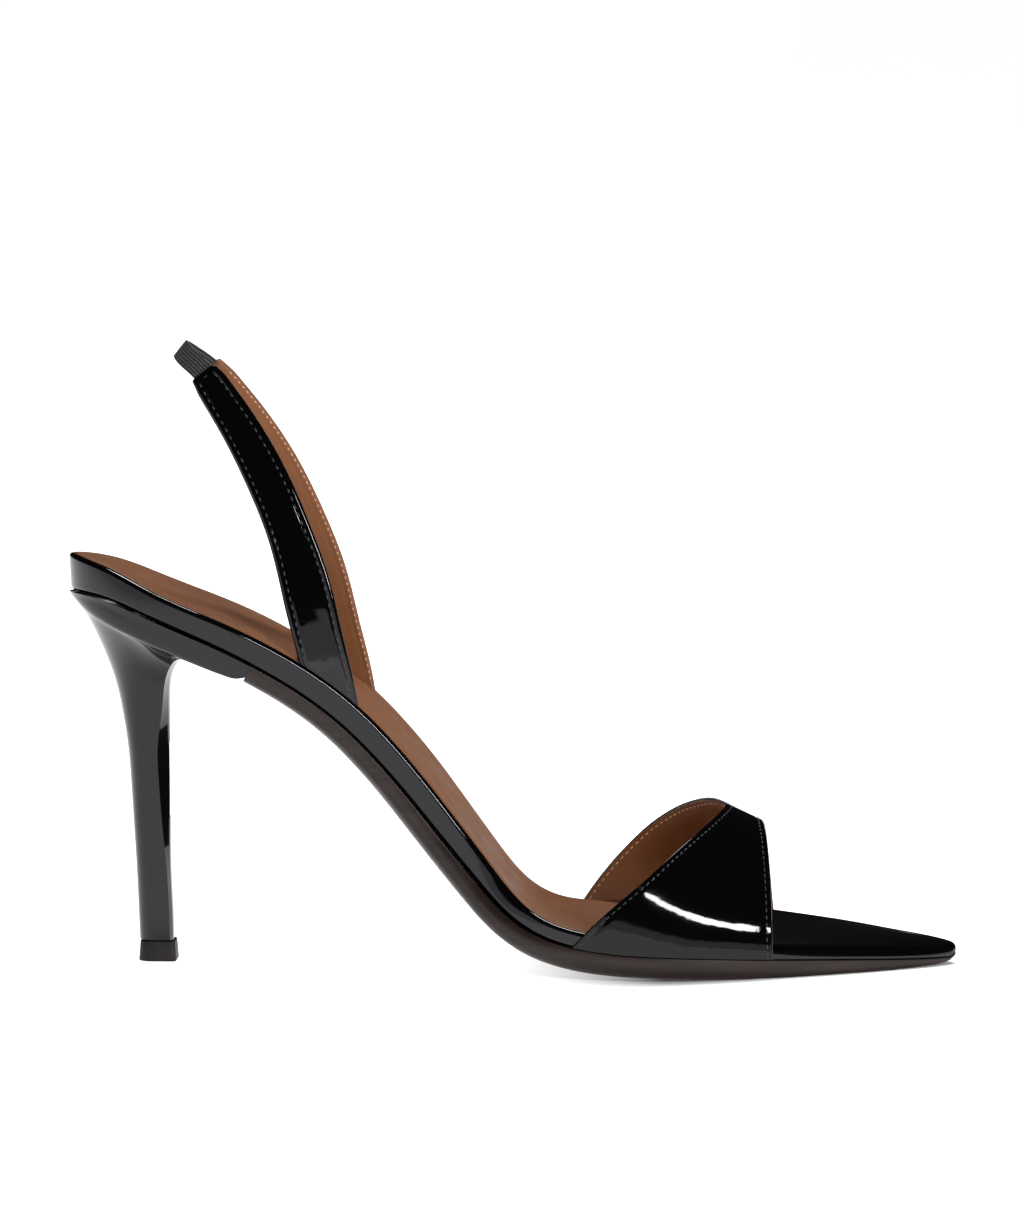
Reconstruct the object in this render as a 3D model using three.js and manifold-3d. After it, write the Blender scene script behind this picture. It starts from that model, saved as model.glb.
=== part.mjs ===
// A pointed slingback sandal for the right foot, on a covered stiletto heel.
// Units are millimetres. +X runs from heel to toe, +Y to the medial (big toe) side, +Z up.
// The origin is the centre of the heel tip's face on the floor.
import * as THREE from "three";
import { mergeVertices } from "three/addons/utils/BufferGeometryUtils.js";
import Module from "manifold-3d";

const wasm = await Module();
wasm.setup();

// Driving dimensions
const gap = 0.3; // clearance between pieces that touch
const cutPast = 3; // how far a pocket's cutter reaches past the face that it opens
const shoeLength = 217.2; // back of the seat to the toe tip, measured level
const heelSetBack = 21.5; // heel tip's centre to the back of the seat
const heelHeight = 91.2; // floor to the feather line at the back of the seat
const ballWidth = 73.8; // insole board at its widest
const boardThickness = 6.3; // covered insole board at the heel
const boardEdgeRadius = 1.3; // rounding of the board's covered edge
const soleThickness = 4.7; // outsole at the ball
const soleMargin = 0.4; // how far the outsole and heel stand in from the board's edge
const crownRise = 2.0; // how much the ball's edges stand over its middle
const twistRise = 1.5; // how far one side of the board stands over the other
const sockThickness = 0.9; // leather sock lining on the board
const sockProud = 0.15; // how far it stands over the board's rim
const rimWidth = 1.3; // board's covered rim outside the sock
const sockEnd = 0.795; // where the sock ends under the vamp, a share of the pattern
const tipLength = 8.9; // heel tip, back to front
const tipWidth = 9.4;
const tipHeight = 5.0;
const lipAlong = 0.2; // where the heel's lip meets the outsole, a share of the pattern
const lipThickness = 3.8;
const seatEdge = 0.9; // depth of the heel's top edge at its back
const vampWall = 1.8; // patent leather and lining together
const vampProud = 0.2; // how far the vamp stands out from the board's edge
const vampFront = 170.0; // back of the seat to the vamp's front edge, at its crest
const ridgeLength = 9.0; // the vamp along its crest
const vampSweep = 36.9; // how much further back the vamp reaches at the sole
const vampFlare = 2.8; // how much further forward it reaches at the sole
const throatHeight = 39.3; // floor to the vamp's crest at its throat
const crestFall = 0.47; // how steeply the crest falls towards the toe
const archPower = 1.75; // 1 would be a tent, 2 an ellipse
const strapAlong = 0.281; // where the sling straps leave the board, a share of the pattern
const strapWidth = 13.5; // strap above its foot
const strapThickness = 2.2;
const strapEndThickness = 2.9; // where it holds the elastic
const strapEndLength = 12; // length over which it thickens
const strapSetIn = 0.9; // board's edge to the strap's outer face
const strapDepth = 3.0; // how deep the straps go into the board
const medialLead = 1.0; // how much further forward the medial strap leaves it
const slingRise = 82.9; // strap's foot to the middle of the sling at the back
const slingReach = 37.6; // strap's foot back to the middle of the sling
const elasticWidth = 5.2;
const elasticThickness = 1.2;
const elasticGrip = 4.0; // length of elastic held in each strap

// Height of the feather line, where board and outsole meet, from the back of the seat to the toe.
// along is a share of the shoe's length, rise of the heel's height over the ball,
// tread of the sole's thickness.
const feather = [
  { along: 0.0, rise: 1.0, tread: 1 },
  { along: 0.039, rise: 0.992, tread: 1 },
  { along: 0.085, rise: 0.956, tread: 1 },
  { along: 0.131, rise: 0.91, tread: 1 },
  { along: 0.178, rise: 0.86, tread: 1 },
  { along: 0.224, rise: 0.802, tread: 1 },
  { along: 0.27, rise: 0.733, tread: 1 },
  { along: 0.316, rise: 0.644, tread: 1 },
  { along: 0.353, rise: 0.5515, tread: 1 },
  { along: 0.39, rise: 0.4415, tread: 1 },
  { along: 0.427, rise: 0.319, tread: 1 },
  { along: 0.4635, rise: 0.2025, tread: 1 },
  { along: 0.5005, rise: 0.102, tread: 1 },
  { along: 0.535, rise: 0.046, tread: 1 },
  { along: 0.572, rise: 0.0165, tread: 1 },
  { along: 0.612, rise: 0.0035, tread: 1 },
  { along: 0.66, rise: 0, tread: 1 },
  { along: 0.74, rise: 0, tread: 1 },
  { along: 0.823, rise: 0, tread: 0.99 },
  { along: 0.879, rise: 0, tread: 0.9 },
  { along: 0.925, rise: 0, tread: 0.76 },
  { along: 0.971, rise: 0, tread: 0.62 },
  { along: 1.0, rise: 0, tread: 0.54 },
];

// Insole pattern, laid flat. along is a share of its length,
// lateral and medial are half widths as shares of the ball's width.
const pattern = [
  { along: 0.008, lateral: 0.098, medial: 0.098 },
  { along: 0.04, lateral: 0.222, medial: 0.222 },
  { along: 0.085, lateral: 0.313, medial: 0.313 },
  { along: 0.129, lateral: 0.35, medial: 0.35 },
  { along: 0.173, lateral: 0.353, medial: 0.352 },
  { along: 0.225, lateral: 0.336, medial: 0.336 },
  { along: 0.28, lateral: 0.308, medial: 0.311 },
  { along: 0.335, lateral: 0.286, medial: 0.292 },
  { along: 0.39, lateral: 0.277, medial: 0.286 },
  { along: 0.45, lateral: 0.286, medial: 0.297 },
  { along: 0.51, lateral: 0.324, medial: 0.321 },
  { along: 0.565, lateral: 0.392, medial: 0.363 },
  { along: 0.615, lateral: 0.457, medial: 0.42 },
  { along: 0.66, lateral: 0.492, medial: 0.469 },
  { along: 0.705, lateral: 0.494, medial: 0.503 },
  { along: 0.745, lateral: 0.464, medial: 0.502 },
  { along: 0.79, lateral: 0.406, medial: 0.464 },
  { along: 0.835, lateral: 0.338, medial: 0.403 },
  { along: 0.88, lateral: 0.265, medial: 0.332 },
  { along: 0.92, lateral: 0.193, medial: 0.256 },
  { along: 0.955, lateral: 0.12, medial: 0.178 },
  { along: 0.98, lateral: 0.062, medial: 0.112 },
  { along: 0.994, lateral: 0.016, medial: 0.06 },
];
const toeTipOffset = 0.02; // toe tip towards the medial side, a share of the ball's width

// What changes along the pattern: board and sole are shares of their thickness, crown and twist
// of their rise, and bevel is the share of the ball's width that the sole's underside draws in by.
const buildUp = [
  { along: 0.0, board: 1.38, sole: 0.9, crown: 0, twist: -0.2, bevel: 0.04 },
  { along: 0.03, board: 1.2, sole: 0.9, crown: 0, twist: -0.2, bevel: 0.04 },
  { along: 0.07, board: 1.06, sole: 0.92, crown: 0, twist: -0.2, bevel: 0.042 },
  { along: 0.15, board: 1.01, sole: 0.93, crown: 0, twist: -0.2, bevel: 0.045 },
  { along: 0.3, board: 0.98, sole: 1.0, crown: 0, twist: 0.4, bevel: 0.06 },
  { along: 0.4, board: 0.94, sole: 1.05, crown: 0, twist: 0.6, bevel: 0.065 },
  { along: 0.48, board: 0.88, sole: 1.07, crown: 0.1, twist: 0, bevel: 0.06 },
  { along: 0.56, board: 0.72, sole: 1.11, crown: 0.4, twist: -0.7, bevel: 0.045 },
  { along: 0.61, board: 0.66, sole: 1.12, crown: 0.8, twist: -0.9, bevel: 0.035 },
  { along: 0.67, board: 0.66, sole: 1.09, crown: 1.0, twist: -0.3, bevel: 0.03 },
  { along: 0.76, board: 0.6, sole: 1.05, crown: 0.65, twist: 0.4, bevel: 0.025 },
  { along: 0.84, board: 0.53, sole: 1.04, crown: 0.15, twist: 0.8, bevel: 0.022 },
  { along: 0.9, board: 0.47, sole: 0.88, crown: 0, twist: 0.9, bevel: 0.02 },
  { along: 0.95, board: 0.42, sole: 0.56, crown: 0, twist: 0.9, bevel: 0.018 },
  { along: 1.0, board: 0.36, sole: 0.22, crown: 0, twist: 0.8, bevel: 0.012 },
];

// Side of the sole from its bottom up to its top (0), and how far each level has drawn in.
const soleSide = [
  { depth: 1, drawn: 1 },
  { depth: 0.86, drawn: 0.45 },
  { depth: 0.6, drawn: 0.12 },
  { depth: 0.3, drawn: 0 },
  { depth: 0, drawn: 0 },
];

// Rings of the heel, from the tip's top up to the seat. back and front are shares of the set-back,
// backUp and frontUp of the height over the tip, half of the seat's half width, breast of half,
// bevel of the ring's length, and seat says how far the ring has taken the seat's outline.
const heelRings = [
  { back: -0.2, backUp: 0, front: 0.167, frontUp: 0, half: 0.171, breast: 0.66, bevel: 0.08, seat: 0 },
  { back: -0.216, backUp: 0.102, front: 0.154, frontUp: 0.102, half: 0.173, breast: 0.66, bevel: 0.08, seat: 0 },
  { back: -0.237, backUp: 0.218, front: 0.134, frontUp: 0.218, half: 0.177, breast: 0.62, bevel: 0.1, seat: 0 },
  { back: -0.265, backUp: 0.334, front: 0.132, frontUp: 0.334, half: 0.188, breast: 0.56, bevel: 0.19, seat: 0 },
  { back: -0.293, backUp: 0.45, front: 0.134, frontUp: 0.45, half: 0.204, breast: 0.52, bevel: 0.25, seat: 0 },
  { back: -0.332, backUp: 0.567, front: 0.131, frontUp: 0.567, half: 0.235, breast: 0.5, bevel: 0.24, seat: 0 },
  { back: -0.391, backUp: 0.66, front: 0.132, frontUp: 0.666, half: 0.281, breast: 0.5, bevel: 0.18, seat: 0.05 },
  { back: -0.465, backUp: 0.742, front: 0.158, frontUp: 0.744, half: 0.358, breast: 0.53, bevel: 0.14, seat: 0.12 },
  { back: -0.558, backUp: 0.808, front: 0.228, frontUp: 0.786, half: 0.462, breast: 0.6, bevel: 0.12, seat: 0.25 },
  { back: -0.651, backUp: 0.862, front: 0.34, frontUp: 0.812, half: 0.585, breast: 0.68, bevel: 0.1, seat: 0.42 },
  { back: -0.749, backUp: 0.912, front: 0.521, frontUp: 0.813, half: 0.723, breast: 0.76, bevel: 0.09, seat: 0.6 },
  { back: -0.838, backUp: 0.948, front: 0.73, frontUp: 0.792, half: 0.838, breast: 0.82, bevel: 0.08, seat: 0.78 },
  { back: -0.907, backUp: 0.971, front: 0.92, frontUp: 0.776, half: 0.923, breast: 0.85, bevel: 0.07, seat: 0.9 },
];

// Heel tip from the floor up: its size at each level as a share of its length and width.
const tipLevels = [
  { up: 0, size: 0.95 },
  { up: 0.12, size: 1 },
  { up: 0.9, size: 0.95 },
  { up: 1, size: 0.91 },
];

// The vamp's rear edge. turn runs from the sole (0) up over the arch to the crest (1),
// lateral and medial are shares of the sweep.
const topline = [
  { turn: 0.0, lateral: 1.0, medial: 1.043 },
  { turn: 0.1, lateral: 0.865, medial: 0.937 },
  { turn: 0.2, lateral: 0.7, medial: 0.81 },
  { turn: 0.3, lateral: 0.535, medial: 0.67 },
  { turn: 0.4, lateral: 0.4, medial: 0.536 },
  { turn: 0.5, lateral: 0.283, medial: 0.41 },
  { turn: 0.6, lateral: 0.182, medial: 0.298 },
  { turn: 0.7, lateral: 0.104, medial: 0.2 },
  { turn: 0.8, lateral: 0.048, medial: 0.122 },
  { turn: 0.9, lateral: 0.012, medial: 0.052 },
  { turn: 1.0, lateral: 0.0, medial: 0.0 },
];

// The sling from a strap's foot to the middle of the back. back and up are shares of its reach
// and rise, apart of the straps' distance at the foot, width of the strap's width. lean is the slope
// of a line across it and toeIn its turn towards the other strap, in degrees.
const sling = [
  { back: 0.0, up: 0.0, apart: 1.0, width: 1.31, lean: -34.9, toeIn: 7 },
  { back: 0.027, up: 0.08, apart: 1.005, width: 1.086, lean: -22, toeIn: 7 },
  { back: 0.08, up: 0.198, apart: 0.995, width: 0.96, lean: -8.9, toeIn: 6.5 },
  { back: 0.147, up: 0.335, apart: 0.95, width: 0.896, lean: 7, toeIn: 5.5 },
  { back: 0.247, up: 0.488, apart: 0.862, width: 0.8, lean: 18, toeIn: 4.5 },
  { back: 0.405, up: 0.654, apart: 0.73, width: 0.763, lean: 26.6, toeIn: 3.5 },
  { back: 0.607, up: 0.806, apart: 0.575, width: 0.685, lean: 32, toeIn: 2.5 },
  { back: 0.77, up: 0.901, apart: 0.455, width: 0.615, lean: 34, toeIn: 1.5 },
  { back: 0.8415, up: 0.9385, apart: 0.4, width: 0.515, lean: 38, toeIn: 1 },
  { back: 0.945, up: 0.978, apart: 0.262, width: 0.515, lean: 46, toeIn: 0 },
  { back: 1.0, up: 1.0, apart: 0.0, width: 0.515, lean: 52, toeIn: 0 },
];
const strapEndRow = 8; // the row of the sling where a strap ends and the elastic comes out

// Mesh counts
const patternSteps = 54; // stations along each side of the insole pattern
const acrossSteps = 4; // strips across the board, sock and sole
const edgeSteps = 3; // facets in the board's rounded edge
const heelSideSteps = 18;
const tipCornerSteps = 3;
const vampAround = 40;
const vampAlong = 7;
const strapSteps = 30;
const elasticSteps = 26;
const curveSamples = 24; // samples to each row of a curve that is measured

const { lerp, clamp, degToRad } = THREE.MathUtils;
const quarterTurn = Math.PI / 2;

// A column of a table as a smooth function of another.
function column(rows, key, name) {
  const curve = new THREE.CubicInterpolant(
    Float32Array.from(rows, (row) => row[key]),
    Float32Array.from(rows, (row) => row[name]),
    1,
    new Float32Array(1),
  );
  return (value) => curve.evaluate(value)[0];
}

// Place of a value in a rising list, as an index and the part of the step after it.
function between(list, value) {
  let low = 0;
  let high = list.length - 1;
  while (high - low > 1) {
    const middle = (low + high) >> 1;
    if (list[middle] <= value) low = middle;
    else high = middle;
  }
  return [low, clamp((value - list[low]) / (list[high] - list[low] || 1), 0, 1)];
}

// A surface of quads, which becomes one closed solid.
class Skin {
  corners = [];

  quad(a, b, c, d) {
    for (const p of [a, b, c, a, c, d]) this.corners.push(p.x, p.y, p.z);
  }

  // Joins two closed loops that run anticlockwise, the second above the first.
  band(lower, upper) {
    lower.forEach((p, i) => {
      const j = (i + 1) % lower.length;
      this.quad(p, lower[j], upper[j], upper[i]);
    });
  }

  // A sheet of rows of points, which faces up where rows follow +X and each row runs to +Y.
  sheet(rows, turned = false) {
    for (let r = 0; r + 1 < rows.length; r++) {
      for (let c = 0; c + 1 < rows[r].length; c++) {
        const ring = [rows[r][c], rows[r + 1][c], rows[r + 1][c + 1], rows[r][c + 1]];
        if (turned) ring.reverse();
        this.quad(...ring);
      }
    }
  }

  solid() {
    const soup = new THREE.BufferGeometry();
    soup.setAttribute("position", new THREE.Float32BufferAttribute(this.corners, 3));
    return solidOf(soup);
  }
}

function solidOf(geometry) {
  const bare = geometry.index ? geometry.toNonIndexed() : geometry.clone();
  bare.deleteAttribute("normal");
  bare.deleteAttribute("uv");
  const merged = mergeVertices(bare, 1e-3);
  const index = merged.index.array;
  const kept = [];
  for (let i = 0; i < index.length; i += 3) {
    const [a, b, c] = [index[i], index[i + 1], index[i + 2]];
    if (a !== b && b !== c && c !== a) kept.push(a, b, c);
  }
  const mesh = new wasm.Mesh({
    numProp: 3,
    vertProperties: Float32Array.from(merged.attributes.position.array),
    triVerts: Uint32Array.from(kept),
  });
  return new wasm.Manifold(mesh);
}

function geometryOf(solid) {
  const mesh = solid.getMesh();
  const geometry = new THREE.BufferGeometry();
  geometry.setAttribute("position", new THREE.Float32BufferAttribute(mesh.vertProperties, 3));
  geometry.setIndex(Array.from(mesh.triVerts));
  const faceted = geometry.toNonIndexed();
  faceted.computeVertexNormals();
  return faceted;
}

// The feather line, a curve over the length of the shoe.
const featherCurve = new THREE.CatmullRomCurve3(
  feather.map(({ along, rise, tread }) => {
    const height = tread * soleThickness + rise * (heelHeight - soleThickness);
    return new THREE.Vector3(along * shoeLength - heelSetBack, 0, height);
  }),
  false,
  "centripetal",
);
featherCurve.arcLengthDivisions = curveSamples * feather.length;
const patternLength = featherCurve.getLength();

const boardShare = column(buildUp, "along", "board");
const soleShare = column(buildUp, "along", "sole");
const crownShare = column(buildUp, "along", "crown");
const twistShare = column(buildUp, "along", "twist");
const bevelShare = column(buildUp, "along", "bevel");
const boardAt = (s) => boardThickness * boardShare(s / patternLength);
const soleAt = (s) => soleThickness * soleShare(s / patternLength);

// Each side of the pattern from the heel's back to the toe tip, as points (s, y).
const sides = {
  lateral: patternSide("lateral", "medial", -1),
  medial: patternSide("medial", "lateral", 1),
};

function patternSide(name, otherName, sign) {
  const point = (row, half) => new THREE.Vector2(row.along * patternLength, half * ballWidth);
  const first = pattern[0];
  const last = pattern[pattern.length - 1];
  const spline = new THREE.SplineCurve([
    point(first, -sign * first[otherName]),
    new THREE.Vector2(0, 0),
    ...pattern.map((row) => point(row, sign * row[name])),
    new THREE.Vector2(patternLength, toeTipOffset * ballWidth),
    point(last, -sign * last[otherName]),
  ]);
  const pieces = spline.points.length - 1;
  const points = spline.getPoints(pieces * curveSamples).slice(curveSamples, -curveSamples);
  const travelled = [0];
  for (let i = 1; i < points.length; i++) {
    travelled.push(travelled[i - 1] + points[i].distanceTo(points[i - 1]));
  }
  return { sign, points, travelled, stations: points.map((p) => p.x) };
}

// A point on a side, share 0 at the heel's back and 1 at the toe tip, drawn in by inset.
function edgePoint({ sign, points, travelled }, share, inset) {
  const [i, part] = between(travelled, share * travelled[travelled.length - 1]);
  const point = points[i].clone().lerp(points[i + 1], part);
  const run = points[Math.min(i + 3, points.length - 1)].clone().sub(points[Math.max(i - 2, 0)]);
  if (share === 0) run.set(0, sign);
  if (share === 1) run.set(0, -sign);
  run.setLength(inset);
  return point.add(new THREE.Vector2(sign * run.y, -sign * run.x));
}

// Half width of the pattern at s, on the side where y is.
function halfWidth(s, y) {
  const { points, stations } = y < 0 ? sides.lateral : sides.medial;
  const [i, part] = between(stations, s);
  return Math.abs(lerp(points[i].y, points[i + 1].y, part));
}

// Where a point of the flat pattern lies on the moulded shoe: s along it, y across,
// and h over the feather line.
function place(s, y, h) {
  const u = clamp(s / patternLength, 0, 1);
  const foot = featherCurve.getPointAt(u);
  const run = featherCurve.getTangentAt(u);
  const across = clamp(y / Math.max(halfWidth(s, y), 1), -1, 1);
  const crown = crownRise * crownShare(u) * across ** 2;
  const twist = (twistRise / 2) * twistShare(u) * across;
  const rise = h + crown + twist;
  return new THREE.Vector3(foot.x - run.z * rise, y, foot.z + run.x * rise);
}

// Distance along the pattern at a level X.
const levelStations = featherCurve.getSpacedPoints(curveSamples * feather.length).map((p) => p.x);
function alongAt(x) {
  const [i, part] = between(levelStations, x);
  return ((i + part) / (levelStations.length - 1)) * patternLength;
}

// A plate with the pattern's outline. Its levels run up from its underside, each with an inset
// and a height over the feather line as functions of the distance along.
function plate(levels) {
  const grids = levels.map(({ inset, height }) => {
    const rows = [];
    for (let k = 0; k <= patternSteps; k++) {
      const share = k / patternSteps;
      const drawn = inset(share * patternLength);
      const lateral = edgePoint(sides.lateral, share, drawn);
      const medial = edgePoint(sides.medial, share, drawn);
      const closed = k === 0 || k === patternSteps;
      const row = [];
      for (let c = 0; c <= acrossSteps; c++) {
        const flat = closed ? lateral : lateral.clone().lerp(medial, c / acrossSteps);
        row.push(place(flat.x, flat.y, height(flat.x)));
      }
      rows.push(row);
    }
    return rows;
  });
  const rimOf = (rows) => {
    const back = rows.slice(1, -1).reverse();
    return [...rows.map((row) => row[0]), ...back.map((row) => row[acrossSteps])];
  };
  const skin = new Skin();
  for (let i = 0; i + 1 < grids.length; i++) skin.band(rimOf(grids[i]), rimOf(grids[i + 1]));
  skin.sheet(grids[0], true);
  skin.sheet(grids[grids.length - 1]);
  return skin.solid();
}

// A block that fills all that lies behind (way -1) or ahead (way 1) of a line across the pattern.
function blockAcross(s, way) {
  const size = 2 * shoeLength;
  const foot = featherCurve.getPointAt(s / patternLength);
  const run = featherCurve.getTangentAt(s / patternLength);
  const block = new THREE.BoxGeometry(size, size, size);
  block.translate((way * size) / 2, 0, 0);
  block.rotateY(Math.atan2(-run.z, run.x));
  block.translate(foot.x, 0, foot.z);
  return solidOf(block);
}

// Insole board, with pockets for the sock, the vamp's walls and the straps
function insoleBoard() {
  const round = (s) => Math.min(boardEdgeRadius, boardAt(s) / 2);
  const turns = [];
  for (let i = 0; i <= edgeSteps; i++) turns.push((i / edgeSteps) * quarterTurn);
  const under = turns.map((turn) => ({
    inset: (s) => round(s) * (1 - Math.sin(turn)),
    height: (s) => round(s) * (1 - Math.cos(turn)),
  }));
  const over = turns.map((turn) => ({
    inset: (s) => round(s) * (1 - Math.cos(turn)),
    height: (s) => boardAt(s) - round(s) * (1 - Math.sin(turn)),
  }));
  return plate([...under, ...over])
    .subtract(sockPlate(gap))
    .subtract(vampWallSolid(gap))
    .subtract(strap(sides.lateral, gap))
    .subtract(strap(sides.medial, gap));
}

// The sock lining before it is cut; grown by a clearance it is the space that it needs.
function sockPlate(grown) {
  const inset = () => rimWidth + gap - grown;
  const top = (s) => boardAt(s) + sockProud + (grown ? cutPast : 0);
  const bottom = (s) => boardAt(s) + sockProud - sockThickness - grown;
  const whole = plate([
    { inset, height: bottom },
    { inset, height: top },
  ]);
  return whole.subtract(blockAcross(sockEnd * patternLength + grown, 1));
}

function sock() {
  return sockPlate(0)
    .subtract(vampWallSolid(gap))
    .subtract(strap(sides.lateral, gap))
    .subtract(strap(sides.medial, gap));
}

// Outsole from the heel's lip to the toe, trimmed flat where it treads
function outsole() {
  const levels = soleSide.map(({ depth, drawn }) => ({
    inset: (s) => soleMargin + drawn * bevelShare(s / patternLength) * ballWidth,
    height: (s) => -gap - depth * soleAt(s),
  }));
  const floor = new THREE.BoxGeometry(2 * shoeLength, 2 * shoeLength, heelHeight);
  floor.translate(0, 0, -heelHeight / 2);
  return plate(levels)
    .subtract(solidOf(floor))
    .subtract(blockAcross(lipAlong * patternLength + gap, -1));
}

// Outline of the heel's column as shares, from the middle of its back (0) to the breast's corner (1).
function columnOutline(share, bevel, breast) {
  const roundPart = 0.56;
  const roundDepth = 0.52;
  const corner = 1 - 1 / heelSideSteps;
  if (share > corner) return [1, breast];
  const part = share / corner;
  const side = 1 - bevel;
  if (part > roundPart) return [side * lerp(roundDepth, 1, (part - roundPart) / (1 - roundPart)), 1];
  const turn = (part / roundPart) * quarterTurn;
  return [side * roundDepth * (1 - Math.cos(turn)), Math.sin(turn)];
}

// Covered heel, lofted from the tip up to the seat
function heel() {
  const lip = lipAlong * patternLength;
  const { travelled, stations } = sides.lateral;
  const seatShare = travelled[stations.findIndex((s) => s >= lip)] / travelled[travelled.length - 1];
  const seatPoints = [];
  for (let i = 0; i <= heelSideSteps; i++) {
    const point = edgePoint(sides.lateral, (seatShare * i) / heelSideSteps, soleMargin);
    point.x = Math.min(point.x, lip);
    seatPoints.push(point);
  }
  seatPoints[heelSideSteps].x = lip;
  const seatHalf = Math.max(...seatPoints.map((p) => -p.y));
  const bottom = tipHeight + gap;
  const rise = heelHeight - bottom;
  const closed = (pointAt) => {
    const lateral = seatPoints.map((p, i) => pointAt(p, i, 1));
    const medial = seatPoints.map((p, i) => pointAt(p, i, -1));
    return [...lateral, ...medial.slice(1).reverse()];
  };

  const loops = heelRings.map((ring) =>
    closed((p, i, way) => {
      const [f, g] = columnOutline(i / heelSideSteps, ring.bevel, ring.breast);
      const along = lerp(f, (p.x - soleMargin) / (lip - soleMargin), ring.seat);
      const across = lerp(g, -p.y / seatHalf, ring.seat);
      return new THREE.Vector3(
        heelSetBack * lerp(ring.back, ring.front, along),
        -way * seatHalf * ring.half * across,
        bottom + rise * lerp(ring.backUp, ring.frontUp, along),
      );
    }),
  );
  const edgeDepth = (s) => lerp(seatEdge, lipThickness, (s / lip) ** 2);
  loops.push(closed((p, i, way) => place(p.x, way * p.y, -gap - edgeDepth(p.x))));
  loops.push(closed((p, i, way) => place(p.x, way * p.y, -gap)));

  const skin = new Skin();
  for (let i = 0; i + 1 < loops.length; i++) skin.band(loops[i], loops[i + 1]);
  const capRows = (loop) => {
    const side = loop.slice(0, heelSideSteps + 1);
    return side.map((p, i) => [p, loop[(loop.length - i) % loop.length]]);
  };
  skin.sheet(capRows(loops[0]), true);
  skin.sheet(capRows(loops[loops.length - 1]));
  return skin.solid();
}

// Rubber heel tip: a rounded block with a straight front edge
function heelTip() {
  const corners = [
    { x: 1, y: -1, radius: 0.12 },
    { x: 1, y: 1, radius: 0.12 },
    { x: -1, y: 1, radius: 0.34 },
    { x: -1, y: -1, radius: 0.34 },
  ];
  const loops = tipLevels.map(({ up, size }) => {
    const loop = [];
    corners.forEach(({ x, y, radius }, quarter) => {
      for (let i = 0; i <= tipCornerSteps; i++) {
        const turn = (quarter - 1 + i / tipCornerSteps) * quarterTurn;
        const r = radius * tipLength;
        const px = x * (tipLength / 2 - r) + r * Math.cos(turn);
        const py = y * (tipWidth / 2 - r) + r * Math.sin(turn);
        loop.push(new THREE.Vector3(px * size, py * size, up * tipHeight));
      }
    });
    return loop;
  });
  const skin = new Skin();
  for (let i = 0; i + 1 < loops.length; i++) skin.band(loops[i], loops[i + 1]);
  const bottom = loops[0];
  const top = loops[loops.length - 1];
  const floorMiddle = new THREE.Vector3(0, 0, 0);
  const topMiddle = new THREE.Vector3(0, 0, tipHeight);
  bottom.forEach((p, i) => {
    const j = (i + 1) % bottom.length;
    skin.quad(floorMiddle, bottom[j], p, p);
    skin.quad(topMiddle, top[i], top[j], top[j]);
  });
  return skin.solid();
}

const toplineShare = {
  lateral: column(topline, "turn", "lateral"),
  medial: column(topline, "turn", "medial"),
};

// A point of the vamp: along 0 at its rear edge and 1 at its front, over from -1 at the lateral sole
// to 1 at the medial sole, drawn in from its outer face by inset. grown lengthens it both ways.
function vampPoint(along, over, inset, grown) {
  const turn = 1 - Math.abs(over);
  const sweep = toplineShare[over < 0 ? "lateral" : "medial"](turn) * vampSweep;
  const crestFront = vampFront - heelSetBack;
  const rear = crestFront - ridgeLength - sweep - grown;
  const front = crestFront + vampFlare * (1 - turn) ** 2 + grown;
  const x = lerp(rear, front, along);
  const s = alongAt(x);
  const half = halfWidth(s, over) + vampProud - inset;
  const angle = turn * quarterTurn;
  const y = Math.sign(over) * half * Math.cos(angle) ** (2 / archPower);
  const crest = throatHeight - crestFall * (x - crestFront + ridgeLength) - inset;
  const lift = Math.sin(angle) ** (2 / archPower);
  const base = place(s, y, 0).z;
  const middle = place(s, 0, 0).z;
  return new THREE.Vector3(x, y, base + (crest - middle) * lift);
}

// The vamp's wall; grown by a clearance it is the space that it needs, right down through the board.
function vampWallSolid(grown) {
  const grid = (inset) => {
    const rows = [];
    for (let i = 0; i <= vampAlong; i++) {
      const row = [];
      for (let j = 0; j <= vampAround; j++) {
        row.push(vampPoint(i / vampAlong, (2 * j) / vampAround - 1, inset, grown));
      }
      const below = new THREE.Vector3(0, 0, -cutPast);
      if (grown) rows.push([row[0].clone().add(below), ...row, row[vampAround].clone().add(below)]);
      else rows.push(row);
    }
    return rows;
  };
  const outer = grid(grown ? -cutPast : 0);
  const inner = grid(vampWall + grown);
  const rim = (rows) => [
    ...rows.map((row) => row[0]),
    ...rows[vampAlong].slice(1, -1),
    ...rows.map((row) => row[row.length - 1]).reverse(),
    ...rows[0].slice(1, -1).reverse(),
  ];
  const skin = new Skin();
  skin.sheet(outer);
  skin.sheet(inner, true);
  skin.band(rim(inner), rim(outer));
  return skin.solid();
}

// Centre line of the sling: up the lateral strap, round the back and down the medial strap.
const strapS = strapAlong * patternLength;
const strapInset = strapSetIn + strapThickness / 2;
const strapFoot = (s, y) => place(s, y, boardAt(s) - strapDepth);
const slingBack = strapFoot(strapS, 0).add(new THREE.Vector3(-slingReach, 0, slingRise));
const slingSide = (sign, lead) => {
  const foot = strapFoot(strapS + lead, sign * (halfWidth(strapS + lead, sign) - strapInset));
  return sling.map(
    ({ back, up, apart }) =>
      new THREE.Vector3(lerp(foot.x, slingBack.x, back), foot.y * apart, lerp(foot.z, slingBack.z, up)),
  );
};
const slingCurve = new THREE.CatmullRomCurve3(
  [...slingSide(-1, 0), ...slingSide(1, medialLead).slice(0, -1).reverse()],
  false,
  "catmullrom",
);
const slingRows = 2 * (sling.length - 1);
slingCurve.arcLengthDivisions = slingRows * curveSamples;
const slingLengths = slingCurve.getLengths();
const slingLength = slingCurve.getLength();
const strapEnd = slingLengths[strapEndRow * curveSamples];
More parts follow.
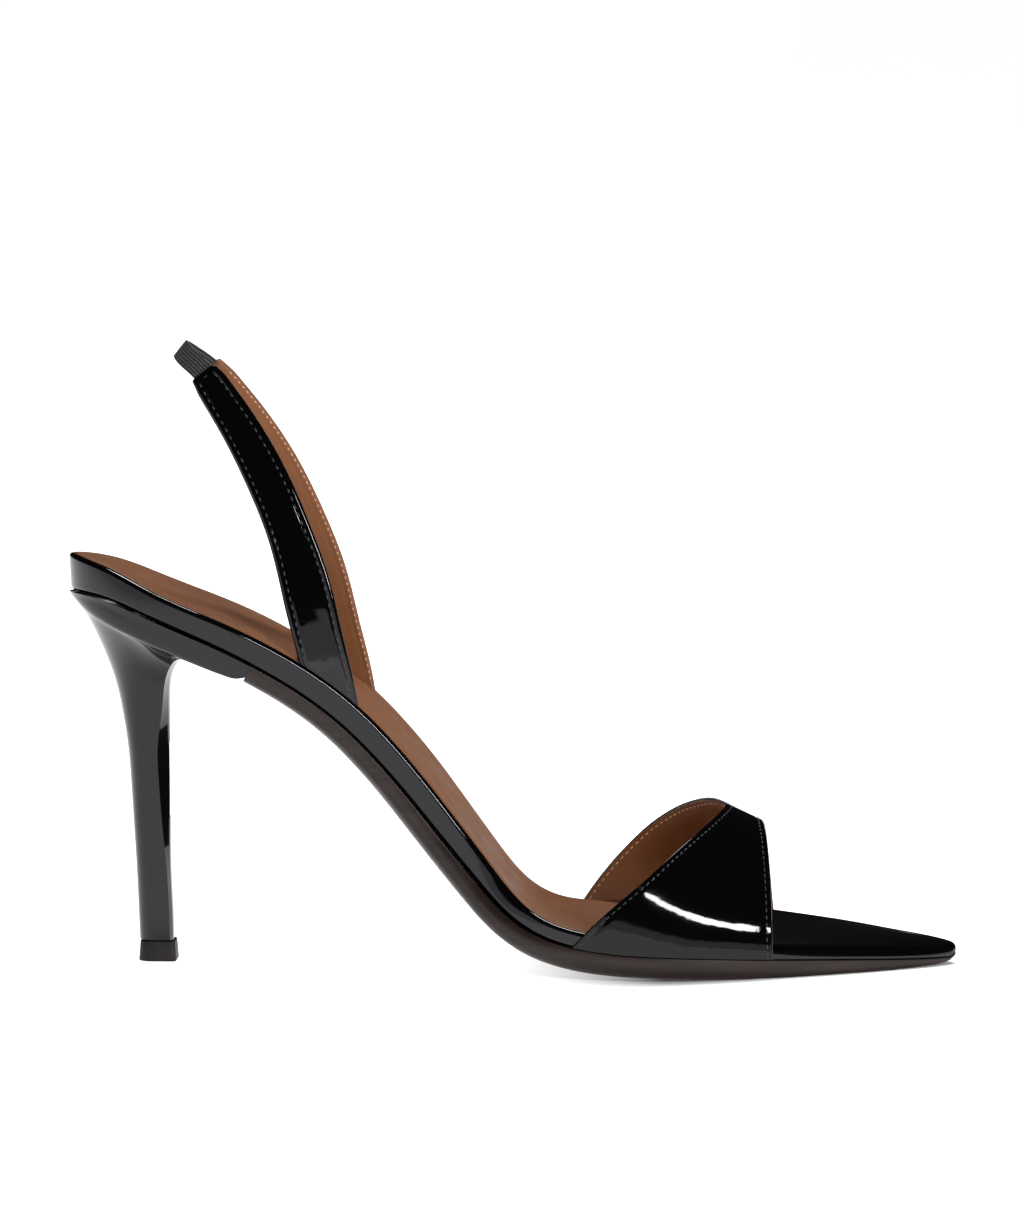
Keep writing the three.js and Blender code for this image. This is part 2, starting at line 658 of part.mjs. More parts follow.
const slingTable = sling.map((row, i) => ({ ...row, row: i }));
const slingWidth = column(slingTable, "row", "width");
const slingLean = column(slingTable, "row", "lean");
const slingToeIn = column(slingTable, "row", "toeIn");

// A flat ribbon along the sling, from one length to another. sizeAt gives its width and thickness.
function ribbon(from, to, steps, sizeAt, grown) {
  const loops = [];
  for (let i = 0; i <= steps; i++) {
    const length = lerp(from, to, i / steps);
    const u = length / slingLength;
    const t = slingCurve.getUtoTmapping(u) * slingRows;
    const row = Math.min(t, slingRows - t);
    const run = slingCurve.getTangentAt(u);
    const lean = degToRad(slingLean(row));
    const toeIn = degToRad(slingToeIn(row)) * (t < slingRows / 2 ? 1 : -1);
    const across = new THREE.Vector3(Math.cos(lean), Math.tan(toeIn), Math.sin(lean)).normalize();
    const out = new THREE.Vector3().crossVectors(run, across).normalize();
    const { width, thickness } = sizeAt(row, length);
    const w = width / 2 + grown;
    const d = thickness / 2 + grown;
    const bevel = thickness / 5;
    const centre = slingCurve.getPointAt(u);
    if (i === 0) centre.addScaledVector(run, -grown);
    if (i === steps) centre.addScaledVector(run, grown);
    const section = [
      [w, bevel - d],
      [w, d - bevel],
      [w - bevel, d],
      [bevel - w, d],
      [-w, d - bevel],
      [-w, bevel - d],
      [bevel - w, -d],
      [w - bevel, -d],
    ];
    loops.push(section.map(([a, b]) => centre.clone().addScaledVector(across, a).addScaledVector(out, b)));
  }
  const skin = new Skin();
  for (let i = 0; i < steps; i++) skin.band(loops[i], loops[i + 1]);
  const capRows = (loop) => [
    [loop[5], loop[4]],
    [loop[6], loop[3]],
    [loop[7], loop[2]],
    [loop[0], loop[1]],
  ];
  skin.sheet(capRows(loops[0]), true);
  skin.sheet(capRows(loops[steps]));
  return skin.solid();
}

// A sling strap before its pocket is cut
function strap({ sign }, grown) {
  const size = (row, length) => {
    const fromFoot = Math.min(length, slingLength - length);
    const share = THREE.MathUtils.smoothstep(fromFoot, strapEnd - strapEndLength, strapEnd);
    return { width: strapWidth * slingWidth(row), thickness: lerp(strapThickness, strapEndThickness, share) };
  };
  const [from, to] = sign < 0 ? [0, strapEnd] : [slingLength - strapEnd, slingLength];
  return ribbon(from, to, strapSteps, size, grown);
}

// The elastic, whose ends sit in pockets in both straps
function elastic(grown = 0) {
  const size = () => ({ width: elasticWidth, thickness: elasticThickness });
  const start = strapEnd - elasticGrip;
  return ribbon(start, slingLength - start, elasticSteps, size, grown);
}

const slingStrap = (side) => strap(side, 0).subtract(elastic(gap));

// Finishes
const patent = new THREE.MeshStandardMaterial({ color: 0x0b0b0d, roughness: 0.08, metalness: 0 });
const tanLeather = new THREE.MeshStandardMaterial({ color: 0x7a4a33, roughness: 0.55, metalness: 0 });
const soleLeather = new THREE.MeshStandardMaterial({ color: 0x2a1f1f, roughness: 0.4, metalness: 0 });
const ribbedElastic = new THREE.MeshStandardMaterial({ color: 0x2e2f31, roughness: 0.8, metalness: 0 });
const tipRubber = new THREE.MeshStandardMaterial({ color: 0x2c2a28, roughness: 0.75, metalness: 0 });

const sandal = new THREE.Group();
sandal.name = "slingback_sandal";

function add(name, solid, material) {
  const mesh = new THREE.Mesh(geometryOf(solid), material);
  mesh.name = name;
  sandal.add(mesh);
}

add("outsole", outsole(), soleLeather);
add("insole_board", insoleBoard(), patent);
add("sock", sock(), tanLeather);
add("vamp", vampWallSolid(0), patent);
add("sling_strap_lateral", slingStrap(sides.lateral), patent);
add("sling_strap_medial", slingStrap(sides.medial), patent);
add("sling_elastic", elastic(), ribbedElastic);
add("heel", heel(), patent);
add("heel_tip", heelTip(), tipRubber);

export default sandal;
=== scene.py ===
# %% [markdown]
# # A slingback sandal in patent leather
# This lesson dresses a packed shoe: a pointed black sandal with a tan lining on a slender covered
# heel. The frame gives each solid at its real place in metres, so every piece made here is laid
# straight where its solid is, and then takes that solid's place.

# %% Load the frame
import math
import bpy
import numpy as np
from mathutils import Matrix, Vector


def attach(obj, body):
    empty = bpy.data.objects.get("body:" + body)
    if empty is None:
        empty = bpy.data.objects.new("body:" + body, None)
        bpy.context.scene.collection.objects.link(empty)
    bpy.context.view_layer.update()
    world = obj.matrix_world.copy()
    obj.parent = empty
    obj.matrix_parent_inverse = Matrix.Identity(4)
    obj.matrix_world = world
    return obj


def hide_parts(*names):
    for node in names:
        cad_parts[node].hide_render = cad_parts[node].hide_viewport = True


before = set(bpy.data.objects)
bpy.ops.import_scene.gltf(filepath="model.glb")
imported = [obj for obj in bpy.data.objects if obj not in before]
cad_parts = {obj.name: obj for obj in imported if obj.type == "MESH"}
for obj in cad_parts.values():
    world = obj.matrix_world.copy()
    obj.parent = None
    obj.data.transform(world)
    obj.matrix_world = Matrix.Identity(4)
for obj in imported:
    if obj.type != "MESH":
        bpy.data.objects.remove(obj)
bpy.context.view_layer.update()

MM = 0.001
print("nodes:", sorted(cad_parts))

# %% [markdown]
# A shoe is built on a last, and almost all its curves come from the last. The named sizes and
# short tables below are the shoemaker's measures of it, the same ones that the solids were made
# from. Writing them once and reading every piece from them keeps the pieces on each other.

# %% The shoe's measures, in millimetres
GAP = 0.3
SHOE_LENGTH, HEEL_SET_BACK, HEEL_HEIGHT, BALL_WIDTH = 217.2, 21.5, 91.2, 73.8
BOARD_THICKNESS, BOARD_EDGE_RADIUS, SOLE_THICKNESS, SOLE_MARGIN = 6.3, 1.3, 4.7, 0.4
CROWN_RISE, TWIST_RISE, TOE_TIP_OFFSET = 2.0, 1.5, 0.02
SOCK_THICKNESS, SOCK_PROUD, RIM_WIDTH, SOCK_END = 0.9, 0.15, 1.3, 0.795
TIP_LENGTH, TIP_WIDTH, TIP_HEIGHT, TIP_FORWARD = 9.5, 9.4, 5.0, 0.3
LIP_ALONG, LIP_THICKNESS, SEAT_EDGE = 0.2, 3.1, 0.9
VAMP_WALL, VAMP_PROUD, VAMP_FRONT, RIDGE_LENGTH, VAMP_SWEEP = 1.8, 0.2, 170.0, 9.0, 36.9
VAMP_FLARE, VAMP_BOW, THROAT_HEIGHT, CREST_FALL, ARCH_POWER = 2.8, 1.2, 39.3, 0.47, 1.75
STRAP_ALONG, STRAP_WIDTH, STRAP_THICKNESS, STRAP_END_THICKNESS = 0.281, 13.5, 2.2, 2.9
STRAP_END_LENGTH, STRAP_SET_IN, STRAP_DEPTH, MEDIAL_LEAD = 12.0, 0.9, 3.0, 1.8
SLING_RISE, SLING_REACH, ELASTIC_WIDTH, ELASTIC_THICKNESS, ELASTIC_GRIP = 82.9, 37.6, 5.2, 1.2, 4.0
STRAP_END_ROW, MEDIAL_REACH = 8, 1.8

# %% The shoe's tables
# The feather line, where board and outsole meet: share of the length, share of the rise, tread.
FEATHER = [
    (0.0, 1.0, 1), (0.039, 0.992, 1), (0.085, 0.956, 1), (0.131, 0.91, 1), (0.178, 0.86, 1),
    (0.224, 0.802, 1), (0.27, 0.733, 1), (0.316, 0.644, 1), (0.353, 0.5515, 1), (0.39, 0.4415, 1),
    (0.427, 0.319, 1), (0.4635, 0.2025, 1), (0.5005, 0.102, 1), (0.535, 0.046, 1),
    (0.572, 0.0165, 1), (0.612, 0.0035, 1), (0.66, 0, 1), (0.74, 0, 1), (0.823, 0, 0.99),
    (0.879, 0, 0.9), (0.925, 0, 0.76), (0.971, 0, 0.62), (1.0, 0, 0.54),
]
# The insole pattern laid flat: share of its length, half widths as shares of the ball's width.
PATTERN = [
    (0.008, 0.098, 0.098), (0.04, 0.222, 0.222), (0.085, 0.313, 0.313), (0.129, 0.35, 0.35),
    (0.173, 0.353, 0.352), (0.225, 0.336, 0.336), (0.28, 0.308, 0.311), (0.335, 0.286, 0.292),
    (0.39, 0.277, 0.286), (0.45, 0.286, 0.297), (0.51, 0.324, 0.321), (0.565, 0.392, 0.363),
    (0.615, 0.457, 0.42), (0.66, 0.492, 0.469), (0.705, 0.494, 0.503), (0.745, 0.464, 0.502),
    (0.79, 0.406, 0.464), (0.835, 0.338, 0.403), (0.88, 0.265, 0.332), (0.92, 0.193, 0.256),
    (0.955, 0.12, 0.178), (0.98, 0.062, 0.112), (0.994, 0.016, 0.06),
]
# What changes along the pattern: share, board, sole, crown, twist and the sole's bevel.
BUILD_UP = [
    (0.0, 1.49, 0.9, 0, -0.2, 0.04), (0.03, 1.26, 0.9, 0, -0.2, 0.04),
    (0.07, 1.04, 0.92, 0, -0.2, 0.042), (0.15, 0.98, 0.93, 0, -0.2, 0.045),
    (0.3, 0.98, 1.04, 0, 0.4, 0.06), (0.4, 0.94, 1.12, 0, 0.6, 0.065),
    (0.48, 0.88, 1.12, 0.1, 0, 0.06), (0.56, 0.72, 1.11, 0.4, -0.7, 0.045),
    (0.61, 0.66, 1.12, 0.8, -0.9, 0.035), (0.67, 0.66, 1.09, 1.0, -0.3, 0.03),
    (0.76, 0.6, 1.05, 0.65, 0.4, 0.025), (0.84, 0.53, 1.04, 0.15, 0.8, 0.022),
    (0.9, 0.47, 0.88, 0, 0.9, 0.02), (0.95, 0.42, 0.56, 0, 0.9, 0.018),
    (1.0, 0.36, 0.22, 0, 0.8, 0.012),
]
# The vamp's rear edge: turn from the sole (0) to the crest (1), then shares of the sweep.
TOPLINE = [
    (0.0, 1.0, 1.043), (0.1, 0.865, 0.937), (0.2, 0.7, 0.81), (0.3, 0.535, 0.67),
    (0.4, 0.4, 0.536), (0.5, 0.283, 0.41), (0.6, 0.182, 0.298), (0.7, 0.104, 0.2),
    (0.8, 0.048, 0.122), (0.9, 0.012, 0.052), (1.0, 0.0, 0.0),
]
# The sling from a foot to the middle of the back: back, up, apart, width, lean, toe-in.
SLING = [
    (0.0, 0.0, 1.0, 1.31, -34.9, 7), (0.027, 0.08, 1.005, 1.086, -22, 7),
    (0.09, 0.198, 0.995, 0.96, -8.9, 6.5), (0.163, 0.335, 0.95, 0.896, 7, 5.5),
    (0.272, 0.488, 0.862, 0.8, 18, 4.5), (0.436, 0.654, 0.73, 0.763, 26.6, 3.5),
    (0.632, 0.806, 0.575, 0.685, 32, 2.5), (0.778, 0.901, 0.455, 0.615, 34, 1.5),
    (0.8415, 0.9385, 0.4, 0.515, 38, 1), (0.945, 0.978, 0.262, 0.515, 46, 0),
    (1.0, 1.0, 0.0, 0.515, 52, 0),
]
# The heel's rings: back, its height, front, its height, half width, breast, bevel, seat.
HEEL_RINGS = [
    (-0.2, 0, 0.193, 0, 0.171, 0.66, 0.08, 0),
    (-0.216, 0.102, 0.182, 0.102, 0.173, 0.66, 0.08, 0),
    (-0.237, 0.218, 0.163, 0.218, 0.177, 0.62, 0.1, 0),
    (-0.265, 0.334, 0.16, 0.334, 0.188, 0.56, 0.19, 0),
    (-0.293, 0.45, 0.161, 0.45, 0.204, 0.52, 0.25, 0),
    (-0.332, 0.567, 0.158, 0.567, 0.235, 0.5, 0.24, 0),
    (-0.391, 0.66, 0.16, 0.666, 0.281, 0.5, 0.12, 0.05),
    (-0.465, 0.742, 0.18, 0.744, 0.358, 0.53, 0.07, 0.12),
    (-0.558, 0.808, 0.24, 0.786, 0.462, 0.6, 0.05, 0.25),
    (-0.651, 0.862, 0.34, 0.812, 0.585, 0.68, 0.045, 0.42),
    (-0.749, 0.912, 0.521, 0.813, 0.723, 0.76, 0.045, 0.6),
    (-0.838, 0.948, 0.73, 0.792, 0.838, 0.82, 0.045, 0.78),
    (-0.907, 0.971, 0.92, 0.776, 0.923, 0.85, 0.045, 0.9),
]

# %% [markdown]
# Gloss shows every break in a curve, so the tables are read through a natural cubic spline. It
# has no jump in its bend, where simpler curves leave one at each row, and a reflection that
# runs over it stays unbroken.

# %% A smooth curve through rows of values
def smooth(keys, values):
    keys, values = np.asarray(keys, float), np.asarray(values, float)
    flat = values.reshape(len(keys), -1)
    step = np.diff(keys)
    size = len(keys)
    matrix, right = np.eye(size), np.zeros_like(flat)
    for i in range(1, size - 1):
        matrix[i, i - 1:i + 2] = step[i - 1], 2 * (step[i - 1] + step[i]), step[i]
        slopes = (flat[i + 1] - flat[i]) / step[i] - (flat[i] - flat[i - 1]) / step[i - 1]
        right[i] = 6 * slopes
    bend = np.linalg.solve(matrix, right)

    def read(at):
        at = np.clip(np.asarray(at, float), keys[0], keys[-1])
        i = np.clip(np.searchsorted(keys, at, side="right") - 1, 0, size - 2)
        h = step[i][..., None]
        a = (keys[i + 1] - at)[..., None] / h
        b = 1 - a
        value = a * flat[i] + b * flat[i + 1]
        value += ((a ** 3 - a) * bend[i] + (b ** 3 - b) * bend[i + 1]) * h * h / 6
        return value.reshape(at.shape + values.shape[1:])

    return read


def by_length(points, samples=60):
    """A curve through points, read by the distance along it, with its length."""
    points = np.asarray(points, float)
    chords = np.r_[0, np.cumsum(np.linalg.norm(np.diff(points, axis=0), axis=1))]
    dense = smooth(chords, points)(np.linspace(0, chords[-1], samples * len(points)))
    run = np.r_[0, np.cumsum(np.linalg.norm(np.diff(dense, axis=0), axis=1))]
    return run, dense


def on(curve, at):
    run, dense = curve
    return np.stack([np.interp(at, run, dense[:, i]) for i in range(dense.shape[1])], -1)


def heading(curve, at, reach=0.6):
    run = curve[0]
    ahead, behind = np.minimum(at + reach, run[-1]), np.maximum(at - reach, 0)
    way = on(curve, ahead) - on(curve, behind)
    return way / np.linalg.norm(way, axis=-1, keepdims=True)


# %% [markdown]
# The feather line is the shoe's backbone: a curve in the upright middle plane from the seat,
# down the arch and along the floor to the toe. The insole pattern is laid on it like paper on
# a slide, with a little crown at the ball and a slight twist.

# %% The feather line and the pattern
feather_curve = by_length([
    (along * SHOE_LENGTH - HEEL_SET_BACK,
     tread * SOLE_THICKNESS + rise * (HEEL_HEIGHT - SOLE_THICKNESS))
    for along, rise, tread in FEATHER])
LENGTH = feather_curve[0][-1]
build_up = smooth([row[0] for row in BUILD_UP], [row[1:] for row in BUILD_UP])


def board_at(s):
    return BOARD_THICKNESS * build_up(s / LENGTH)[..., 0]


def sole_at(s):
    return SOLE_THICKNESS * build_up(s / LENGTH)[..., 1]


def pattern_side(sign):
    own, other = (1, 2) if sign < 0 else (2, 1)
    first, last = PATTERN[0], PATTERN[-1]
    points = [(first[0] * LENGTH, -sign * first[other] * BALL_WIDTH), (0, 0)]
    points += [(row[0] * LENGTH, sign * row[own] * BALL_WIDTH) for row in PATTERN]
    points += [(LENGTH, TOE_TIP_OFFSET * BALL_WIDTH), (last[0] * LENGTH, -sign * last[other] * BALL_WIDTH)]
    run, dense = by_length(points)
    start = np.argmin(np.hypot(*(dense - points[1]).T))
    end = np.argmin(np.hypot(*(dense - points[-2]).T))
    return run[start:end + 1] - run[start], dense[start:end + 1]


SIDES = {-1: pattern_side(-1), 1: pattern_side(1)}
print(f"the pattern is {LENGTH:.1f} mm long and its edge {SIDES[-1][0][-1]:.1f} mm a side")


def edge_point(sign, share, inset):
    """A point on the pattern's edge, share 0 at the heel and 1 at the toe, drawn in by inset."""
    curve = SIDES[sign]
    at = share * curve[0][-1]
    way = heading(curve, at, 0.8)
    way = np.where((share <= 0)[..., None], (0.0, sign), way)
    way = np.where((share >= 1)[..., None], (0.0, -sign), way)
    inward = np.stack([sign * way[..., 1], -sign * way[..., 0]], -1)
    return on(curve, at) + inward * np.asarray(inset)[..., None]


def half_width(s, y):
    low = np.interp(s, SIDES[-1][1][:, 0], -SIDES[-1][1][:, 1])
    high = np.interp(s, SIDES[1][1][:, 0], SIDES[1][1][:, 1])
    return np.abs(np.where(y < 0, low, high))


def place(s, y, h):
    """Lays a point of the flat pattern on the last, h over the feather line, in millimetres."""
    s, y, h = np.broadcast_arrays(np.asarray(s, float), y, h)
    along = np.clip(s, 0, LENGTH)
    foot, run = on(feather_curve, along), heading(feather_curve, along)
    _, _, crown, twist, _ = np.moveaxis(build_up(along / LENGTH), -1, 0)
    across = np.clip(y / np.maximum(half_width(s, y), 1), -1, 1)
    rise = h + CROWN_RISE * crown * across ** 2 + TWIST_RISE / 2 * twist * across
    return np.stack([foot[..., 0] - run[..., 1] * rise, y, foot[..., 1] + run[..., 0] * rise], -1)


# %% [markdown]
# Leather is cut flat and then laid over a form. Blender can do the same: a grid primitive is
# the flat sheet, and each of its vertices is moved to its place on the last. A grid whose two
# long edges meet is a sleeve, and when its doubles are merged and its ends are filled it is a
# closed body. The grid brings a UV map with it, which follows the leather.

# %% Lay a grid on the last
def use(obj):
    bpy.ops.object.select_all(action="DESELECT")
    obj.select_set(True)
    bpy.context.view_layer.objects.active = obj


def edit(obj, *steps):
    use(obj)
    bpy.ops.object.mode_set(mode="EDIT")
    for step in steps:
        step()
    bpy.ops.object.mode_set(mode="OBJECT")


def laid(name, points, sleeve=False, closed=True, angle=50):
    """A grid laid at points[row, column] in millimetres. A sleeve joins its last column to its first."""
    points = np.asarray(points, float) * MM
    if sleeve:
        points = np.concatenate([points, points[:, :1]], axis=1)
    rows, columns = points.shape[:2]
    bpy.ops.object.select_all(action="DESELECT")
    bpy.ops.mesh.primitive_grid_add(x_subdivisions=rows - 1, y_subdivisions=columns - 1, size=1)
    obj = bpy.context.object
    obj.name = obj.data.name = name
    flat = np.empty(rows * columns * 3)
    obj.data.vertices.foreach_get("co", flat)
    flat = flat.reshape(-1, 3)
    row = np.rint((flat[:, 0] + 0.5) * (rows - 1)).astype(int)
    column = np.rint((flat[:, 1] + 0.5) * (columns - 1)).astype(int)
    obj.data.vertices.foreach_set("co", points[row, column].ravel())
    obj.data.update()
    if closed:
        edit(obj,
             lambda: bpy.ops.mesh.select_all(action="SELECT"),
             lambda: bpy.ops.mesh.remove_doubles(threshold=2e-6),
             lambda: bpy.ops.mesh.select_non_manifold(),
             lambda: bpy.ops.mesh.fill_holes(sides=0),
             lambda: bpy.ops.mesh.select_all(action="SELECT"),
             lambda: bpy.ops.mesh.normals_make_consistent(inside=False))
    use(obj)
    bpy.ops.object.shade_smooth_by_angle(angle=math.radians(angle))
    return obj


def finish_piece(obj, material, slot, *nodes):
    """Gives a piece its finish, lets it ride on the shoe and stand for its solids."""
    if not obj.data.materials:
        obj.data.materials.append(material)
    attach(obj, "root")
    if nodes:
        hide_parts(*nodes)
    corners = np.array([v.co for v in obj.data.vertices]) / MM
    extent = corners.max(0) - corners.min(0)
    print(f"{obj.name}: {len(obj.data.polygons)} faces, {[round(float(x), 1) for x in extent]} mm")
    return obj


# %% [markdown]
# Every finish is a small node tree. A helper adds a noise bump at a size in millimetres, and
# chains bumps from coarse to fine, because real leather has both a soft wave and a fine grain.

# %% Helpers for materials
def new_material(name, color, roughness, specular=0.5, sheen=(1, 1, 1)):
    material = bpy.data.materials.new(name)
    material.use_nodes = True
    shader = material.node_tree.nodes["Principled BSDF"]
    shader.inputs["Base Color"].default_value = (*color, 1)
    shader.inputs["Roughness"].default_value = roughness
    shader.inputs["Specular IOR Level"].default_value = specular
    shader.inputs["Specular Tint"].default_value = (*sheen, 1)
    return material, material.node_tree, shader


def noise(tree, size_mm, detail=2.0, stretch=(1, 1, 1)):
    place_node = tree.nodes.new("ShaderNodeTexCoord")
    mapping = tree.nodes.new("ShaderNodeMapping")
    mapping.inputs["Scale"].default_value = stretch
    texture = tree.nodes.new("ShaderNodeTexNoise")
    texture.inputs["Scale"].default_value = 1000 / size_mm
    texture.inputs["Detail"].default_value = detail
    tree.links.new(place_node.outputs["Object"], mapping.inputs["Vector"])
    tree.links.new(mapping.outputs["Vector"], texture.inputs["Vector"])
    return texture.outputs["Fac"]


def bump(tree, shader, height, depth_mm, strength=1.0):
    node = tree.nodes.new("ShaderNodeBump")
    node.inputs["Strength"].default_value = strength
    node.inputs["Distance"].default_value = depth_mm * MM
    tree.links.new(height, node.inputs["Height"])
    before = shader.inputs["Normal"].links
    if before:
        tree.links.new(before[0].from_socket, node.inputs["Normal"])
    tree.links.new(node.outputs["Normal"], shader.inputs["Normal"])


def ramp(tree, value, low, high, socket, start=0.3, end=0.7):
    node = tree.nodes.new("ShaderNodeMapRange")
    node.inputs["From Min"].default_value = start
    node.inputs["From Max"].default_value = end
    node.inputs["To Min"].default_value = low
    node.inputs["To Max"].default_value = high
    tree.links.new(value, node.inputs["Value"])
    tree.links.new(node.outputs["Result"], socket)


def tint(tree, value, dark, light, socket, start=0.3, end=0.7):
    node = tree.nodes.new("ShaderNodeValToRGB")
    node.color_ramp.elements[0].position, node.color_ramp.elements[0].color = start, (*dark, 1)
    node.color_ramp.elements[1].position, node.color_ramp.elements[1].color = end, (*light, 1)
    tree.links.new(value, node.inputs["Fac"])
    tree.links.new(node.outputs["Color"], socket)


# %% [markdown]
# Patent leather is a clear, thick plastic film on black leather. Its colour is nearly nothing:
# what one sees is the room in it. So the roughness is very low and the base almost black, with
# a shallow orange-peel from the leather below, which frays the edge of each reflection.

# %% Black patent
COOL = (0.93, 0.93, 1.0)  # the film's mirror is faintly blue
patent, tree, shader = new_material("black patent", (0.0012, 0.0012, 0.0014), 0.045, 0.37, COOL)
bump(tree, shader, noise(tree, 5.0, 1.0), 0.075)
bump(tree, shader, noise(tree, 1.6, 2.0), 0.006)
ramp(tree, noise(tree, 25.0), 0.035, 0.07, shader.inputs["Roughness"])

# %% [markdown]
# The vamp's film mirrors less of the table than the straps do. The same leather gets a weaker
# mirror here, and the strip light is strong enough to stay a white streak in it.

# %% Black patent for the vamp
vamp_patent, tree, shader = new_material("black vamp patent", (0.0012, 0.0012, 0.0014), 0.045, 0.25)
bump(tree, shader, noise(tree, 5.0, 1.0), 0.045)
bump(tree, shader, noise(tree, 1.6, 2.0), 0.006)
ramp(tree, noise(tree, 25.0), 0.035, 0.07, shader.inputs["Roughness"])

# %% [markdown]
# The heel's and board's covers are the same patent pulled tight over something hard, so their
# reflections are calmer: the same film, with less wave in it.

# %% Tight black patent
tight_patent, tree, shader = new_material("tight black patent", (0.0012, 0.0012, 0.0014), 0.05, 0.37, COOL)
bump(tree, shader, noise(tree, 14.0, 1.0), 0.012)
bump(tree, shader, noise(tree, 2.0, 2.0), 0.0015)
ramp(tree, noise(tree, 25.0), 0.04, 0.08, shader.inputs["Roughness"])

# %% [markdown]
# The lining and the sock are a smooth tan leather. It has a fine pebble, cloudy patches of dye
# and a satin top coat that is a little worn, so colour and roughness both wander.

# %% Tan leather
tan, tree, shader = new_material("tan lining leather", (0.2, 0.08, 0.04), 0.5, 0.35)
tint(tree, noise(tree, 6.0, 1.5), (0.178, 0.066, 0.023), (0.2, 0.074, 0.026), shader.inputs["Base Color"])
bump(tree, shader, noise(tree, 0.9, 4.0), 0.03)
bump(tree, shader, noise(tree, 0.35, 2.0), 0.012)
ramp(tree, noise(tree, 6.0, 3.0), 0.42, 0.6, shader.inputs["Roughness"])

# %% [markdown]
# A cut edge shows the raw middle of the leather between film and lining, paler than both.

# %% Raw cut edge and threads
raw_edge, tree, shader = new_material("raw leather edge", (0.3, 0.17, 0.1), 0.7, 0.3)
tint(tree, noise(tree, 1.2, 3.0), (0.2, 0.1, 0.06), (0.42, 0.26, 0.16), shader.inputs["Base Color"])
bump(tree, shader, noise(tree, 0.4, 3.0), 0.04)
black_thread, tree, shader = new_material("black thread", (0.012, 0.012, 0.012), 0.35, 0.5)
bump(tree, shader, noise(tree, 0.25, 2.0), 0.03)
tan_thread, tree, shader = new_material("tan thread", (0.62, 0.36, 0.22), 0.5, 0.4)
bump(tree, shader, noise(tree, 0.25, 2.0), 0.03)

# %% [markdown]
# The outsole's edge is leather, stained nearly black, waxed and burnished, so it is satin with
# faint streaks that run along the layers.

# %% Sole leather
sole_leather, tree, shader = new_material("burnished sole leather", (0.02, 0.013, 0.011), 0.3, 0.25)
layers = noise(tree, 5.0, 4.0, (0.4, 0.4, 3))
tint(tree, layers, (0.01, 0.006, 0.005), (0.021, 0.012, 0.01), shader.inputs["Base Color"])
bump(tree, shader, noise(tree, 1.5, 3.0, (0.3, 0.3, 4)), 0.02)
bump(tree, shader, noise(tree, 0.4, 2.0), 0.008)
ramp(tree, noise(tree, 8.0, 3.0), 0.24, 0.4, shader.inputs["Roughness"])

# %% Rubber and elastic
rubber, tree, shader = new_material("heel tip rubber", (0.012, 0.01, 0.009), 0.55, 0.25)
tint(tree, noise(tree, 3.0, 4.0), (0.008, 0.007, 0.006), (0.015, 0.013, 0.012), shader.inputs["Base Color"])
bump(tree, shader, noise(tree, 0.5, 3.0), 0.02)
WEAVE_ROWS, CORD_LINES = 70, 14
elastic_cloth, tree, shader = new_material("ribbed elastic", (0.03, 0.031, 0.033), 0.8, 0.3)
coordinate = tree.nodes.new("ShaderNodeUVMap")
split = tree.nodes.new("ShaderNodeSeparateXYZ")
tree.links.new(coordinate.outputs["UV"], split.inputs["Vector"])
wave = tree.nodes.new("ShaderNodeMath")
wave.operation = "SINE"
turns = tree.nodes.new("ShaderNodeMath")
turns.operation = "MULTIPLY"
turns.inputs[1].default_value = 2 * math.pi * WEAVE_ROWS
tree.links.new(split.outputs["X"], turns.inputs[0])
tree.links.new(turns.outputs[0], wave.inputs[0])
cords = tree.nodes.new("ShaderNodeMath")
cords.operation = "MULTIPLY"
cords.inputs[1].default_value = 2 * math.pi * CORD_LINES
lines = tree.nodes.new("ShaderNodeMath")
lines.operation = "COSINE"
tree.links.new(split.outputs["Y"], cords.inputs[0])
tree.links.new(cords.outputs[0], lines.inputs[0])
tint(tree, lines.outputs[0], (0.016, 0.016, 0.017), (0.17, 0.17, 0.18),
     shader.inputs["Base Color"], 0.75, 1.0)
bump(tree, shader, wave.outputs[0], 0.05)
bump(tree, shader, noise(tree, 0.3, 2.0), 0.03)

# %% [markdown]
# The insole board, the sock and the outsole are all plates with the pattern's outline. Cut
# across, a plate is a closed loop: over its underside, up one side, over the top and down the
# other side. So one sleeve of such loops from the heel to the toe makes it. The loops follow
# equal steps along the two edges, so that they fan out round the heel and close at the toe tip.

# %% A plate on the last
def stations(count, start=0.0, end=1.0):
    t = np.linspace(0, 1, count)
    eased = 0.72 * t + 0.28 * (1 - np.cos(np.pi * t)) / 2
    return start + (end - start) * eased


